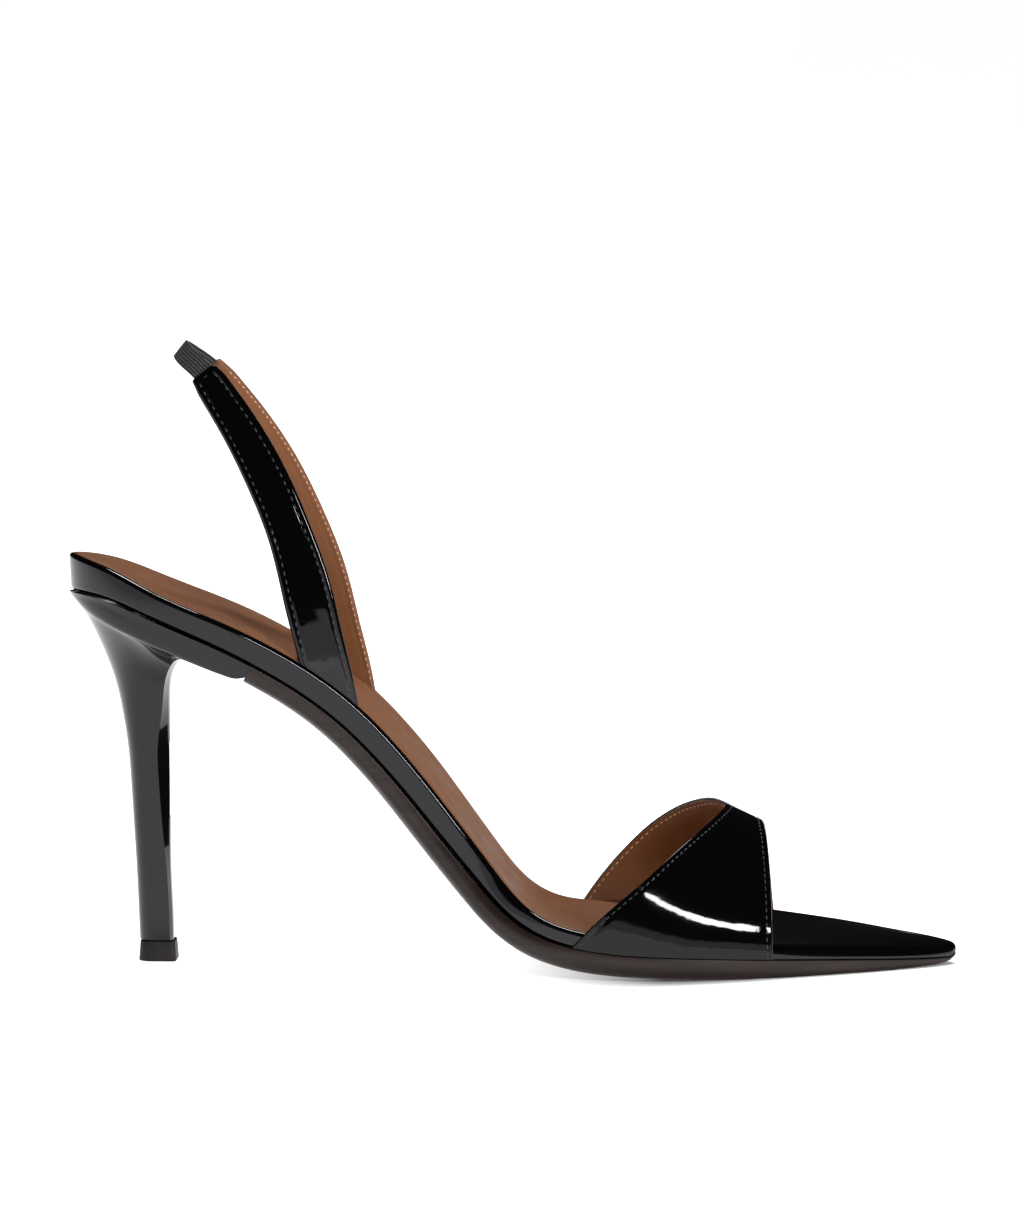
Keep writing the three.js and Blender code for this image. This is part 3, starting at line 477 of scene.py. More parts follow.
def plate(name, levels, shares, across=8, limit=None, floor=False, angle=50, dome=None):
    """levels run up from the underside; each gives an inset and a height as functions of s."""
    ends = {}
    for sign in SIDES:
        columns = []
        for inset, height in levels:
            on_edge = edge_point(sign, shares, 0 * shares)
            flat = edge_point(sign, shares, inset(on_edge[:, 0]))
            if limit:
                flat[:, 0] = np.clip(flat[:, 0], *limit)
            columns.append((flat, height(np.clip(flat[:, 0], 0, LENGTH))))
        ends[sign] = columns
    loop = [place(flat[:, 0], flat[:, 1], h) for flat, h in ends[-1]]

    def strips(level, steps):
        (left, h), (right, _) = ends[-1][level], ends[1][level]
        made = []
        for step in steps:
            flat = left + (right - left) * step
            s = np.clip(flat[:, 0], 0, LENGTH)
            raised = dome(s) * (1 - (2 * step - 1) ** 2) if dome and level else 0
            made.append(place(flat[:, 0], flat[:, 1], levels[level][1](s) + raised))
        return made

    inner = np.linspace(0, 1, across + 1)[1:-1]
    loop += strips(-1, inner)
    loop += [place(flat[:, 0], flat[:, 1], h) for flat, h in reversed(ends[1])]
    loop += strips(0, inner[::-1])
    points = np.stack(loop, 1)
    if floor:
        points[..., 2] = np.maximum(points[..., 2], 0)
    return laid(name, points, sleeve=True, angle=angle)


# %% [markdown]
# The board is fibre, moulded to the last and covered in patent. Its edge is the bright band
# that runs round the whole shoe. The rounding of that band catches a thin line of light, so it
# gets seven facets a side, and the top is recessed where the sock is glued in. At the toe, where
# no sock lies, the top is a low dome.

# %% The covered insole board
def ease(s, start, end):
    t = np.clip((s / LENGTH - start) / (end - start), 0, 1)
    return t * t * (3 - 2 * t)


def rounding(s):
    wide = BOARD_EDGE_RADIUS * (1 + 1.3 * ease(s, 0.75, 0.88))
    return wide * (1 - 0.6 * ease(s, 0.93, 1.0))


def rounding_depth(s):
    small = np.minimum(BOARD_EDGE_RADIUS, board_at(s) * 0.75)
    return small + (0.87 * board_at(s) - small) * ease(s, 0.75, 0.88)


# Share of the length, and how far the side leans in over the whole thickness, in millimetres.
UNDERCUT = [(0, 0.8), (0.12, 0.8), (0.22, 0.35), (0.32, 0.2), (0.42, 0.7),
            (0.5, 1.1), (0.57, 0.9), (0.66, 0.1), (0.78, 0), (1, 0)]
undercut = smooth(*zip(*UNDERCUT))


def drawn_in(s, h):
    """The side of the board leans in towards its underside, so that it mirrors the table."""
    return np.maximum(undercut(s / LENGTH), 0) * (1 - h / board_at(s))


def toe_dome(s):
    return 0.45 * ease(s, 0.82, 0.9) * (1 - ease(s, 0.95, 1.0))


def under_rounding(s):
    return np.minimum(BOARD_EDGE_RADIUS * (1 - 0.8 * ease(s, 0.6, 0.75)), board_at(s) * 0.24)


def sock_recess(s):
    share = np.clip((SOCK_END * LENGTH + GAP - s) / 0.6, 0, 1)
    return (SOCK_THICKNESS + GAP - SOCK_PROUD) * share


def low_height(s, a):
    return under_rounding(s) * (1 - np.cos(a))


def high_height(s, a):
    return board_at(s) - rounding_depth(s) * (1 - np.sin(a))


QUARTERS = np.linspace(0, np.pi / 2, 8)
board_levels = [
    (lambda s, a=a: under_rounding(s) * (1 - np.sin(a)) + drawn_in(s, low_height(s, a)),
     lambda s, a=a: low_height(s, a))
    for a in QUARTERS]
board_levels += [
    (lambda s, a=a: rounding(s) * (1 - np.cos(a)) + drawn_in(s, high_height(s, a)),
     lambda s, a=a: high_height(s, a))
    for a in QUARTERS]
board_levels += [
    (lambda s: rounding(s) + 0.05, lambda s: board_at(s)),
    (lambda s: rounding(s) + 0.07, lambda s: board_at(s) - sock_recess(s)),
]
board = plate("board_cover", board_levels, stations(300), dome=toe_dome)
finish_piece(board, tight_patent, "patent_leather", "insole_board")

# %% [markdown]
# The sock is what the foot stands on: a thin tan leather that is cut to the pattern, less the
# rim, and glued down. Its cut edge is slightly rounded, which a fine bevel in its levels gives.

# %% The sock
SOCK_INSET = RIM_WIDTH + GAP
sock_levels = [
    (lambda s: SOCK_INSET + 0 * s, lambda s: board_at(s) + SOCK_PROUD - SOCK_THICKNESS),
    (lambda s: SOCK_INSET + 0 * s, lambda s: board_at(s) + SOCK_PROUD - 0.3),
    (lambda s: SOCK_INSET + 0.08 + 0 * s, lambda s: board_at(s) + SOCK_PROUD - 0.1),
    (lambda s: SOCK_INSET + 0.3 + 0 * s, lambda s: board_at(s) + SOCK_PROUD),
]
side_s = SIDES[-1][1][:, 0]
sock_share = SIDES[-1][0][np.argmax(side_s >= SOCK_END * LENGTH)] / SIDES[-1][0][-1]
sock = plate("sock_lining", sock_levels, stations(220, 0, sock_share), across=14,
             limit=(0, SOCK_END * LENGTH))
finish_piece(sock, tan, "tan_leather", "sock")

# %% [markdown]
# The outsole is one thin leather layer from the heel's lip to the toe. Its edge draws in
# towards the tread, and the tread is ground flat where it meets the floor, which is done by
# keeping every vertex at or over the floor.

# %% The outsole
# Share of the sole's thickness, and share of its bevel that the edge is drawn in there.
SOLE_SIDE = [(1, 1), (0.97, 0.8), (0.86, 0.45), (0.72, 0.25), (0.6, 0.12),
             (0.45, 0.04), (0.3, 0), (0.08, 0), (0, 0.03)]


def sole_inset(s, drawn):
    margin = SOLE_MARGIN * (1 - ease(s, 0.6, 0.75))
    return margin + drawn * build_up(s / LENGTH)[..., 4] * BALL_WIDTH


sole_levels = [
    (lambda s, drawn=drawn: sole_inset(s, drawn), lambda s, depth=depth: -GAP - depth * sole_at(s))
    for depth, drawn in SOLE_SIDE]
SEAM = LIP_ALONG * LENGTH + 0.04
lip_share = SIDES[-1][0][np.argmax(side_s >= SEAM) - 1] / SIDES[-1][0][-1]
outsole = plate("outsole_leather", sole_levels, stations(260, lip_share, 1), across=10,
                limit=(SEAM, LENGTH), floor=True)
finish_piece(outsole, sole_leather, "sole_leather", "outsole")

# %% [markdown]
# The heel is turned as a column with a round back and a narrow flat breast, and swells into
# the seat. It is lofted: rings from the tip to the seat, each with the same count of points,
# are joined by smooth curves that run up the heel, so the sleeve has no ledges at the rings.

# %% The covered heel
HEEL_SIDE_STEPS = 18
HEEL_EDGE_IN, LIP_TURN = 0.45, 0.5
lip = LIP_ALONG * LENGTH
side_run = SIDES[-1][0]
seat_share = side_run[np.argmax(side_s >= lip)] / side_run[-1]
round_part, round_depth, corner = 0.56, 0.52, 1 - 1 / HEEL_SIDE_STEPS
around = np.r_[np.linspace(0, corner, 72)[:-1], np.linspace(corner, 1, 7)]


def column_outline(share, bevel, breast):
    part = np.minimum(share / corner, 1)
    side = 1 - bevel
    turn = np.minimum(part / round_part, 1) * np.pi / 2
    f = np.where(part > round_part,
                 side * (round_depth + (1 - round_depth) * (part - round_part) / (1 - round_part)),
                 side * round_depth * (1 - np.cos(turn)))
    g = np.sin(turn)
    past = np.clip((share - corner) / (1 - corner), 0, 1)
    return f + (1 - f) * past, g + (breast - g) * past


seat_edge = edge_point(-1, seat_share * around, SOLE_MARGIN + 0 * around)
seat_edge[:, 0] = np.minimum(seat_edge[:, 0], lip)
seat_edge[-1, 0] = lip
seat_half = np.max(-seat_edge[:, 1])
heel_bottom = TIP_HEIGHT + GAP
heel_rise = HEEL_HEIGHT - heel_bottom
loops = []
for back, back_up, front, front_up, half, breast, bevel, seat in HEEL_RINGS:
    f, g = column_outline(around, bevel, breast)
    along = f + ((seat_edge[:, 0] - SOLE_MARGIN) / (lip - SOLE_MARGIN) - f) * seat
    across = g + (-seat_edge[:, 1] / seat_half - g) * seat
    lateral = np.stack([HEEL_SET_BACK * (back + (front - back) * along),
                        -seat_half * half * across,
                        heel_bottom + heel_rise * (back_up + (front_up - back_up) * along)], -1)
    loops.append(np.concatenate([lateral, (lateral * (1, -1, 1))[:0:-1]]))
edge_depth = SEAT_EDGE + (LIP_THICKNESS - SEAT_EDGE) * (seat_edge[:, 0] / lip) ** 2
turned_under = HEEL_EDGE_IN + LIP_TURN * (seat_edge[:, 0] / lip) ** 4
lower_edge = edge_point(-1, seat_share * around, SOLE_MARGIN + turned_under)
lower_edge[:, 0] = np.minimum(lower_edge[:, 0], lip)
lower_edge[-1, 0] = lip
rims = []
for rim, depth in ((lower_edge, edge_depth), (seat_edge, 0)):
    sides = [place(rim[:, 0], way * rim[:, 1], -GAP - depth) for way in (1, -1)]
    rims.append(np.concatenate([sides[0], sides[1][:0:-1]]))
loops = np.array(loops + rims[:1])
travel = np.r_[0, np.cumsum(np.linalg.norm(np.diff(loops, axis=0), axis=2).mean(1))]
flank = smooth(travel, loops)(np.linspace(0, travel[-1], 145))
side_wall = [rims[0] + (rims[1] - rims[0]) * step for step in np.linspace(0, 1, 7)[1:]]
heel = laid("heel_cover", np.concatenate([flank, side_wall]), sleeve=True, angle=40)
finish_piece(heel, tight_patent, "patent_leather", "heel")

# %% [markdown]
# The heel tip is a small rubber block, so it is made as by hand: a cube at the tip's size, its
# upright edges bevelled, round ones at the back and nearly sharp ones at the front, its top
# drawn in a little and its rims softened by a Bevel modifier.

# %% The heel tip
bpy.ops.object.select_all(action="DESELECT")
bpy.ops.mesh.primitive_cube_add(size=1, location=(TIP_FORWARD * MM, 0, TIP_HEIGHT * MM / 2),
                                scale=(TIP_LENGTH * MM, TIP_WIDTH * MM, TIP_HEIGHT * MM))
tip = bpy.context.object
tip.name = tip.data.name = "heel_tip_rubber"
bpy.ops.object.transform_apply(location=True, scale=True)


def bevel_uprights(obj, front, radius_mm):
    for edge in obj.data.edges:
        a, b = [obj.data.vertices[i].co for i in edge.vertices]
        upright = abs(a.z - b.z) > 0.001 and abs(a.x - b.x) < 1e-5
        edge.select = upright and (a.x > 0) == front
    edit(obj, lambda: bpy.ops.mesh.bevel(offset=radius_mm * MM, segments=8, affect="EDGES"))


bpy.ops.object.mode_set(mode="EDIT")
bpy.ops.mesh.select_mode(type="EDGE")
bpy.ops.mesh.select_all(action="DESELECT")
bpy.ops.object.mode_set(mode="OBJECT")
bevel_uprights(tip, True, 0.12 * TIP_LENGTH)
bpy.ops.object.mode_set(mode="EDIT")
bpy.ops.mesh.select_all(action="DESELECT")
bpy.ops.object.mode_set(mode="OBJECT")
bevel_uprights(tip, False, 0.34 * TIP_LENGTH)
for vertex in tip.data.vertices:
    drawn = 0.91 if vertex.co.z > TIP_HEIGHT * MM / 2 else 0.99
    vertex.co.x, vertex.co.y = vertex.co.x * drawn, vertex.co.y * drawn
rims = tip.modifiers.new("soft rims", "BEVEL")
rims.width, rims.segments, rims.limit_method, rims.angle_limit = 0.3 * MM, 3, "ANGLE", math.radians(50)
use(tip)
bpy.ops.object.modifier_apply(modifier=rims.name)
bpy.ops.object.shade_smooth_by_angle(angle=math.radians(40))
finish_piece(tip, rubber, "tip_rubber", "heel_tip")

# %% [markdown]
# The vamp is a band over the toes, patent outside and tan leather inside. Each layer is a
# sleeve again, now cut along the shoe: over the outside from the rear edge to the front edge,
# round the edge and back on the inside. The rear edge is the V of the throat.

# %% The vamp's surface
topline = smooth([row[0] for row in TOPLINE], [row[1:] for row in TOPLINE])
CREST_FRONT = VAMP_FRONT - HEEL_SET_BACK


def along_at(x):
    run, dense = feather_curve
    return np.interp(x, dense[:, 0], run)


def vamp_span(over):
    turn = 1 - np.abs(over)
    sweep = np.where(over < 0, topline(turn)[..., 0], topline(turn)[..., 1]) * VAMP_SWEEP
    bow = VAMP_BOW * np.where(over < 0, 1, 0.35) * np.sin(np.pi * turn)
    return CREST_FRONT - RIDGE_LENGTH - sweep, CREST_FRONT + VAMP_FLARE * (1 - turn) ** 2 + bow


def vamp_point(x, over, inset):
    turn = 1 - np.abs(over)
    s = along_at(x)
    half = half_width(s, over) + VAMP_PROUD - inset
    angle = turn * np.pi / 2
    crest = THROAT_HEIGHT - CREST_FALL * (x - CREST_FRONT + RIDGE_LENGTH) - inset
    lift = np.sin(angle) ** (2 / ARCH_POWER)
    t = np.clip((136 - x) / 22, 0, 1)
    upright = 1.95 + 0.35 * t * t * (3 - 2 * t)
    y = np.sign(over) * half * np.clip(1 - lift ** upright, 0, 1) ** (1 / ARCH_POWER)
    base, middle = place(s, y, 0)[..., 2], place(s, 0 * y, 0)[..., 2]
    return np.stack([x, y, base + (crest - middle) * lift], -1)


def skived(from_edge):
    """Leather is pared thin near an edge before it is sewn: the share of the wall that is left."""
    return 0.55 + 0.45 * np.clip(from_edge / 2.5, 0, 1)


def vamp_layer(name, outer, inner, set_back, groove, steps=44):
    """One leather layer of the vamp between two insets, with its edges rounded over."""
    over = np.linspace(-1, 1, 181)
    rear, front = vamp_span(over)
    rear, front = rear + set_back, front - set_back
    thick = inner - outer
    turns = np.linspace(0, np.pi, 9)[1:-1]
    t = np.linspace(0, 1, steps)
    x = rear[:, None] + (front - rear)[:, None] * t
    o = np.repeat(over[:, None], steps, 1)
    from_edge = np.minimum(x - rear[:, None], front[:, None] - x)
    dip = groove * np.exp(-((from_edge - VAMP_STITCH_IN) / 0.35) ** 2)
    thin = skived(from_edge)
    top = vamp_point(x, o, outer * thin + dip)
    under = vamp_point(x[:, ::-1], o, inner * thin[:, ::-1])
    ends = []
    for base, way in ((front, 1), (rear, -1)):
        a = turns if way > 0 else turns[::-1]
        reach = way * np.sin(a) * thick * 0.45
        depth = (outer + thick * (1 - np.cos(a)) / 2) * skived(0)
        ends.append(vamp_point(base[:, None] + reach, np.repeat(over[:, None], len(a), 1), depth))
    points = np.concatenate([top, ends[0], under, ends[1]], 1)
    return laid(name, points, sleeve=True, angle=60)


STITCH_IN, VAMP_STITCH_IN, LINING_STITCH_IN = 1.7, 0.9, 0.7
vamp = vamp_layer("vamp_patent", 0.0, 0.95, 0.45, 0.12)
finish_piece(vamp, vamp_patent, "patent_leather", "vamp")
vamp_edge = vamp_layer("vamp_raw_edge", 0.96, 1.2, 0.3, 0.0, steps=12)
finish_piece(vamp_edge, raw_edge, "tan_leather")
vamp_inside = vamp_layer("vamp_lining", 1.21, VAMP_WALL, 0.4, 0.0)
finish_piece(vamp_inside, tan, "tan_leather")

# %% [markdown]
# The sling straps twist as they rise: they stand upright beside the foot and lean back towards
# the elastic. A cross-section is carried along the middle line of the sling, turned by the
# table's lean and toe-in at each place.

# %% The sling's middle line
def strap_foot(s, y):
    return place(s, y, board_at(s) - STRAP_DEPTH)


strap_s = STRAP_ALONG * LENGTH
strap_inset = STRAP_SET_IN + STRAP_THICKNESS / 2
sling_back = strap_foot(strap_s, 0.0) + (-SLING_REACH, 0, SLING_RISE)


def sling_side(sign, lead):
    s = strap_s + lead
    foot = strap_foot(s, sign * (half_width(s, sign) - strap_inset))
    rows = np.array(SLING)
    return np.stack([foot[0] + (sling_back[0] - foot[0]) * rows[:, 0], foot[1] * rows[:, 2],
                     foot[2] + (sling_back[2] - foot[2]) * rows[:, 1]], -1)


sling_points = np.concatenate([sling_side(-1, 0), sling_side(1, MEDIAL_LEAD)[-2::-1]])
sling_curve = by_length(sling_points)
SLING_LENGTH = sling_curve[0][-1]
nearest = [np.argmin(np.linalg.norm(sling_curve[1] - point, axis=1)) for point in sling_points]
row_lengths = sling_curve[0][nearest]
strap_end = row_lengths[STRAP_END_ROW]
sling_rows = smooth(np.arange(len(SLING)), [row[3:] for row in SLING])
print(f"the sling is {SLING_LENGTH:.1f} mm long and each strap {strap_end:.1f} mm")


def sling_frame(at):
    """Middle, across and inward directions of the sling, and its width, at lengths along it."""
    t = np.interp(at, row_lengths, np.arange(len(sling_points)))
    row = np.minimum(t, len(sling_points) - 1 - t)
    width, lean, toe = np.moveaxis(sling_rows(row), -1, 0)
    toe = np.radians(toe) * np.clip((len(sling_points) - 1) / 2 - t, -1, 1)
    lean = np.radians(lean)
    run = heading(sling_curve, at)
    across = np.stack([np.cos(lean), np.tan(toe), np.sin(lean)], -1)
    across /= np.linalg.norm(across, axis=-1, keepdims=True)
    inward = np.cross(run, across)
    inward /= np.linalg.norm(inward, axis=-1, keepdims=True)
    return on(sling_curve, at), across, inward, STRAP_WIDTH * width


def swept(name, at, section, angle=60):
    """section gives loops of (across, inward) in millimetres for each length in at."""
    middle, across, inward, width = sling_frame(at)
    a, b = section(at, width)
    points = middle[:, None] + across[:, None] * a[..., None] + inward[:, None] * b[..., None]
    return laid(name, points, sleeve=True, angle=angle)


# %% [markdown]
# Each strap is two leathers sewn together near their edges. Between the stitch rows the patent
# is slightly padded, and under the rows it is pulled down into a shallow groove. The profile
# of the section draws that once, and the sweep carries it along.

# %% The sling straps
def thickness_at(at):
    from_foot = np.minimum(at, SLING_LENGTH - at)
    t = np.clip((from_foot - strap_end + STRAP_END_LENGTH) / STRAP_END_LENGTH, 0, 1)
    return STRAP_THICKNESS + (STRAP_END_THICKNESS - STRAP_THICKNESS) * t * t * (3 - 2 * t)


def layer_section(outside, inside, narrower, groove, reach):
    """A layer between two shares of the wall, -1 at the outer face and 1 at the inner one."""
    def section(at, width):
        from_end = np.abs(reach - np.minimum(at, SLING_LENGTH - at))
        rounded = np.sqrt(1 - np.clip(1 - from_end / 0.9, 0, 0.9) ** 2)
        half = (width / 2 - narrower - 0.8 * (1 - rounded))[:, None]
        wall = (thickness_at(at) / 2 * rounded)[:, None]
        t = np.linspace(-1, 1, 41)[None, :]
        spread = np.sign(t) * np.abs(t) ** 0.8
        face = spread * half
        from_edge = half - np.abs(face)
        dip = groove * np.exp(-((from_edge - STITCH_IN) / 0.4) ** 2)
        round_off = np.clip(1 - from_edge / 0.7, 0, 1) ** 2 * 0.4
        low = wall * outside
        high = wall * inside
        outer = low + (dip + round_off if outside < 0 else 0 * dip)
        inner = high - (dip + round_off if outside > -1 else 0 * dip)
        outer = np.broadcast_to(outer, face.shape)
        inner = np.broadcast_to(inner, face.shape)
        return np.concatenate([face, face[:, ::-1]], 1), np.concatenate([outer, inner[:, ::-1]], 1)
    return section


medial_end = strap_end + MEDIAL_REACH
for side, start, end, node in (("lateral", 0, strap_end, "sling_strap_lateral"),
                               ("medial", SLING_LENGTH - medial_end, SLING_LENGTH, "sling_strap_medial")):
    reach = end - start
    ends = [start + 0.1, start + 0.3, start + 0.6, end - 0.6, end - 0.3, end - 0.1]
    at = np.sort(np.r_[np.linspace(start, end, 130), ends])
    strap = swept(f"strap_patent_{side}", at, layer_section(-1, 0.1, 0.1, 0.12, reach))
    finish_piece(strap, patent, "patent_leather", node)
    strap_edge = swept(f"strap_raw_edge_{side}", at, layer_section(0.11, 0.27, 0.0, 0.0, reach))
    finish_piece(strap_edge, raw_edge, "tan_leather")
    strap_lining = swept(f"strap_lining_{side}", at, layer_section(0.28, 1, 0.08, 0.06, reach))
    finish_piece(strap_lining, tan, "tan_leather")

# %% [markdown]
# The elastic is woven with cords of rubber inside, so its surface is a row of small ribs. Seven
# ribs are drawn in the section, and the fine weave across them is left to the finish.

# %% The elastic
def elastic_section(at, width):
    t = np.linspace(-1, 1, 85)[None, :]
    ribs = 0.14 * np.abs(np.cos(t * 3.5 * np.pi))
    half = np.full((len(at), 1), ELASTIC_WIDTH / 2)
    body = ELASTIC_THICKNESS / 2 - 0.14 + ribs
    body = body * np.sqrt(np.clip(1 - np.abs(t) ** 14, 0.12, 1))
    body = np.broadcast_to(body, (len(at), t.shape[1]))
    face = t * half
    return np.concatenate([face, face[:, ::-1]], 1), np.concatenate([-body, body[:, ::-1]], 1)


elastic_at = np.linspace(strap_end - ELASTIC_GRIP, SLING_LENGTH - strap_end + ELASTIC_GRIP, 140)
elastic = swept("elastic_band", elastic_at, elastic_section)
finish_piece(elastic, elastic_cloth, "elastic", "sling_elastic")

# %% [markdown]
# A stitch is a short length of thread that dips into the leather at both ends. One is modelled
# from a small sphere, then copied along a row, each copy turned with the row. All the stitches
# of a row are one mesh, because hundreds of separate objects would be slow and hard to handle.

# %% Stitches
bpy.ops.object.select_all(action="DESELECT")
bpy.ops.mesh.primitive_uv_sphere_add(segments=8, ring_count=6, radius=0.5, location=(0, 0, 0))
pattern_stitch = bpy.context.object
edit(pattern_stitch, lambda: bpy.ops.mesh.select_all(action="SELECT"),
     lambda: bpy.ops.transform.rotate(value=math.pi / 2, orient_axis="Y", center_override=(0, 0, 0)))
stitch_shape = np.array([v.co for v in pattern_stitch.data.vertices])
stitch_shape[:, 2] -= 0.9 * stitch_shape[:, 0] ** 2
stitch_faces = [list(p.vertices) for p in pattern_stitch.data.polygons]
bpy.data.objects.remove(pattern_stitch)


def stitch_row(name, path, outward, material, slot, pitch=2.1, length=1.55, girth=0.42, sunk=0.02):
    """Stitches along path (millimetres), which stand on the side that outward points to."""
    run = np.r_[0, np.cumsum(np.linalg.norm(np.diff(path, axis=0), axis=1))]
    count = int(run[-1] / pitch)
    middles = (np.arange(count) + 0.5) * run[-1] / count
    behind, middle, ahead = [
        np.stack([np.interp(middles + d, run, path[:, i]) for i in range(3)], -1) for d in (-0.5, 0, 0.5)]
    up = np.stack([np.interp(middles, run, outward[:, i]) for i in range(3)], -1)
    along = ahead - behind
    along /= np.linalg.norm(along, axis=1, keepdims=True)
    aside = np.cross(up, along)
    aside /= np.linalg.norm(aside, axis=1, keepdims=True)
    up = np.cross(along, aside)
    size = stitch_shape * (length, girth, girth)
    points = (middle[:, None] + along[:, None] * size[None, :, :1] + aside[:, None] * size[None, :, 1:2]
              + up[:, None] * (size[None, :, 2:] - sunk)) * MM
    each = len(stitch_shape)
    faces = [[i + n * each for i in face] for n in range(count) for face in stitch_faces]
    mesh = bpy.data.meshes.new(name)
    mesh.from_pydata(points.reshape(-1, 3).tolist(), [], faces)
    obj = bpy.data.objects.new(name, mesh)
    bpy.context.collection.objects.link(obj)
    use(obj)
    bpy.ops.object.shade_smooth()
    finish_piece(obj, material, slot)
    return obj


def strap_row(name, start, end, edge, face, material, slot):
    at = np.linspace(start, end, 300)
    middle, across, inward, width = sling_frame(at)
    wall = thickness_at(at)[:, None] / 2 - 0.12
    from_edge = STITCH_IN if face < 0 else LINING_STITCH_IN
    pitch = 2.1 if face < 0 else 1.6
    path = middle + across * (edge * (width / 2 - from_edge))[:, None] + inward * (face * wall)
    return stitch_row(name, path, inward * face, material, slot, pitch, 0.74 * pitch)


def end_row(name, at, material):
    middle, across, inward, width = sling_frame(np.full(30, at))
    aside = np.linspace(-1, 1, 30) * (width / 2 - STITCH_IN)
    path = middle + across * aside[:, None] - inward * (STRAP_END_THICKNESS / 2 - 0.12)
    return stitch_row(name, path, -inward, material, "patent_leather")


FROM_FOOT, FROM_END = 4, 1.6
for side, start, end in (("lateral", FROM_FOOT, strap_end - FROM_END),
                         ("medial", SLING_LENGTH - strap_end + FROM_END, SLING_LENGTH - FROM_FOOT)):
    end_row(f"strap_stitches_{side}_end", end if side == "lateral" else start, black_thread)
    for edge_name, edge in (("back", -1), ("front", 1)):
        strap_row(f"strap_stitches_{side}_{edge_name}", start, end, edge, -1, black_thread, "patent_leather")
        strap_row(f"lining_stitches_{side}_{edge_name}", start, end, edge, 1, tan_thread, "tan_leather")


def vamp_row(name, at_front, inset, outside, material, slot):
    over = np.linspace(-0.985, 0.985, 400)
    rear, front = vamp_span(over)
    stitch_in = 0.45 + (VAMP_STITCH_IN if outside else LINING_STITCH_IN)
    x = front - stitch_in if at_front else rear + stitch_in
    path = vamp_point(x, over, inset)
    deeper = vamp_point(x, over, inset + 0.5)
    out = path - deeper if outside else deeper - path
    return stitch_row(name, path, out, material, slot, 1.8, 1.35)


for at_front, where in ((False, "throat"), (True, "front")):
    vamp_row(f"vamp_stitches_{where}", at_front, 0.1, True, black_thread, "patent_leather")
    inside = VAMP_WALL * skived(LINING_STITCH_IN) - 0.02
    vamp_row(f"vamp_lining_stitches_{where}", at_front, inside, False, tan_thread, "tan_leather")

# %% [markdown]
# The studio is a white table in a dark room. The shoe's upright sides mirror the table and come
# out grey, and what leans back mirrors the dark room and comes out black. One long strip light
# draws the streak on the vamp, and a big soft light overhead shows the tan leather. The table
# glows evenly white, and its soft contact shadow is painted into that glow: an ambient occlusion
# node dims the glow where the shoe lies close over the table, and a mask along the length keeps
# this painted shadow to where the sole is down.

# %% The studio
bpy.ops.object.select_all(action="DESELECT")
bpy.ops.mesh.primitive_plane_add(size=80, location=(0, 0, 0))
floor = bpy.context.object
floor.name = "studio_floor"
white, tree, shader = new_material("white table", (0.85, 0.85, 0.85), 0.9, 0.0)
shader.inputs["Emission Color"].default_value = (1, 1, 1, 1)
# Painted contact shadow: the table's glow is dimmed where ambient occlusion finds the shoe close above it.
nearness = tree.nodes.new("ShaderNodeAmbientOcclusion")
nearness.inputs["Distance"].default_value = 0.022
nearness.samples = 12
position = tree.nodes.new("ShaderNodeTexCoord")
axes = tree.nodes.new("ShaderNodeSeparateXYZ")
tree.links.new(position.outputs["Object"], axes.inputs["Vector"])
painted_shadow = tree.nodes.new("ShaderNodeMath")
painted_shadow.operation = "MULTIPLY"
ramp(tree, nearness.outputs["AO"], 0.95, 0.02, painted_shadow.inputs[0], 0.4, 0.97)
# The painted shadow is masked along the table's length, so it only shows where the forefoot stands on the
# table.
ramp(tree, axes.outputs["X"], 0.0, 1.0, painted_shadow.inputs[1], 0.09, 0.125)
ramp(tree, painted_shadow.outputs[0], 1.0, 0.0, shader.inputs["Emission Strength"], 0.0, 1.0)
floor.data.materials.append(white)

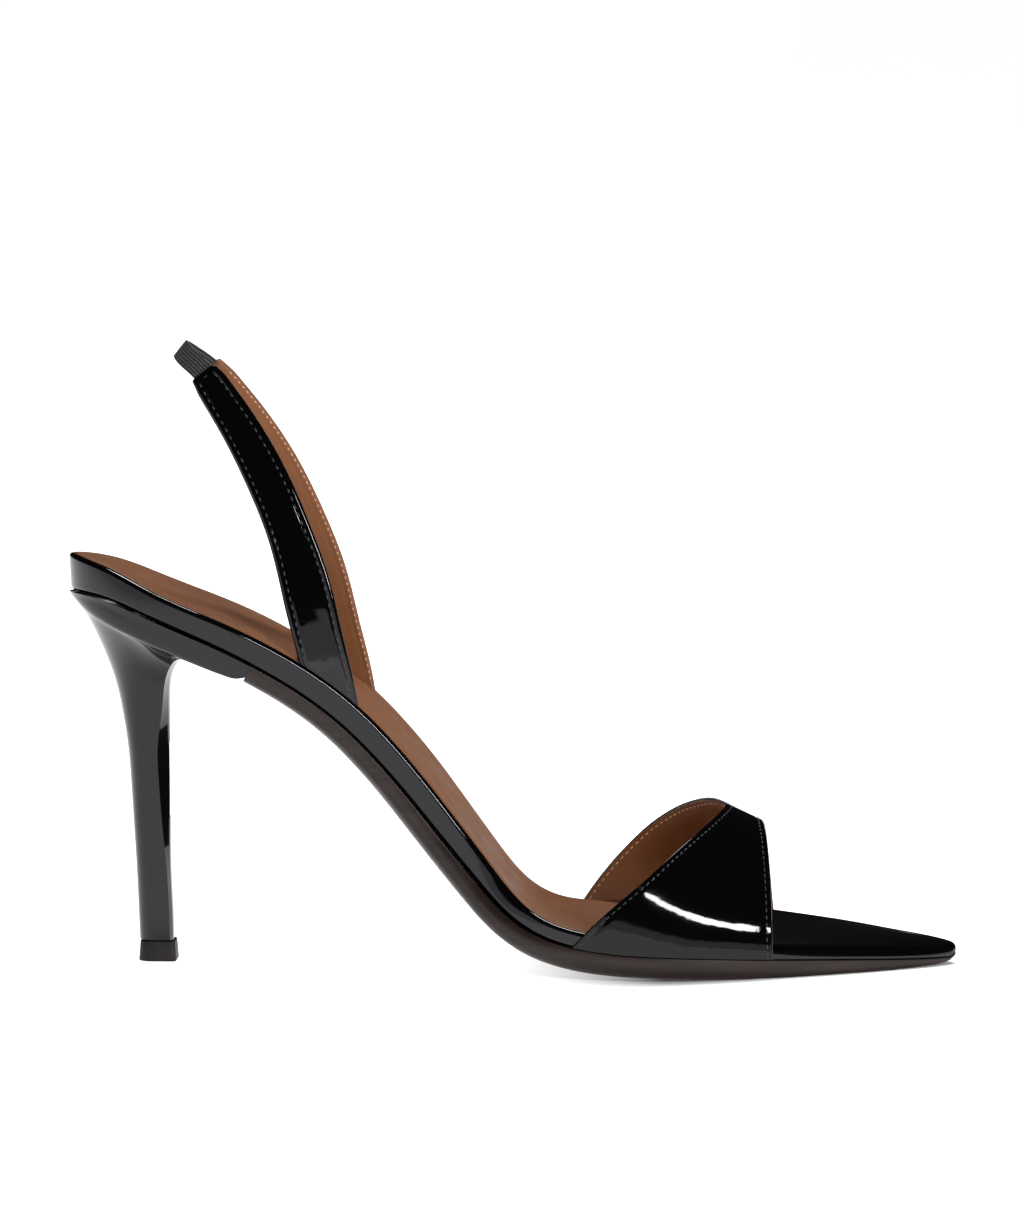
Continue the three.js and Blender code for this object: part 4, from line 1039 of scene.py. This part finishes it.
world = bpy.context.scene.world or bpy.data.worlds.new("studio")
bpy.context.scene.world = world
world.use_nodes = True
tree = world.node_tree
direction = tree.nodes.new("ShaderNodeTexCoord")
parts = tree.nodes.new("ShaderNodeSeparateXYZ")
tree.links.new(direction.outputs["Generated"], parts.inputs["Vector"])
ramp(tree, parts.outputs["Z"], 1.0, 0.012, tree.nodes["Background"].inputs["Strength"], 0.075, 0.095)
tree.nodes["Background"].inputs["Color"].default_value = (1, 1, 1, 1)


def softbox(name, azimuth, elevation, distance, size, radiance, turn=0.0):
    """A rectangular light that faces the shoe, from a direction as the camera's is given."""
    a, e = math.radians(azimuth), math.radians(elevation)
    way = Vector((math.sin(a) * math.cos(e), -math.cos(a) * math.cos(e), math.sin(e)))
    data = bpy.data.lights.new(name, "AREA")
    data.shape = "RECTANGLE"
    data.size, data.size_y = size
    data.energy = radiance * math.pi * size[0] * size[1]
    light = bpy.data.objects.new(name, data)
    bpy.context.collection.objects.link(light)
    light.location = Vector((0.12, 0, 0.03)) + way * distance
    light.rotation_euler = way.to_track_quat("Z", "Y").to_euler()
    light.rotation_euler.rotate_axis("Z", math.radians(turn))
    return light


softbox("strip", 35.5, 22.0, 3.0, (1.75, 0.24), 50, -19)
softbox("overhead", 180, 72, 2.8, (1.2, 0.6), 26)

# %% [markdown]
# The camera stands where the photographer's did: level with the heel's top, 1.8 m away and
# almost square to the shoe. A long lens gives the flat look of a catalogue picture.

# %% The camera
AZIMUTH, ELEVATION, DISTANCE, SENSOR = math.radians(2.43), math.radians(5.73), 1.8, 36
PICTURE_HEIGHT, PIXELS_PER_MM = 1232, 4.1
TARGET = Vector((87.1, 0, 85.0)) * MM
camera_data = bpy.data.cameras.new("camera")
camera_data.sensor_width = SENSOR
camera_data.lens = SENSOR * DISTANCE / (PICTURE_HEIGHT / PIXELS_PER_MM * MM)
camera = bpy.data.objects.new("camera", camera_data)
bpy.context.collection.objects.link(camera)
level = math.cos(ELEVATION)
back = Vector((math.sin(AZIMUTH) * level, -math.cos(AZIMUTH) * level, math.sin(ELEVATION)))
camera.location = TARGET + back * DISTANCE
camera.rotation_euler = (-back).to_track_quat("-Z", "Y").to_euler()
bpy.context.scene.camera = camera
bpy.context.scene.view_settings.view_transform = "Standard"
print(f"lens {camera_data.lens:.1f} mm")
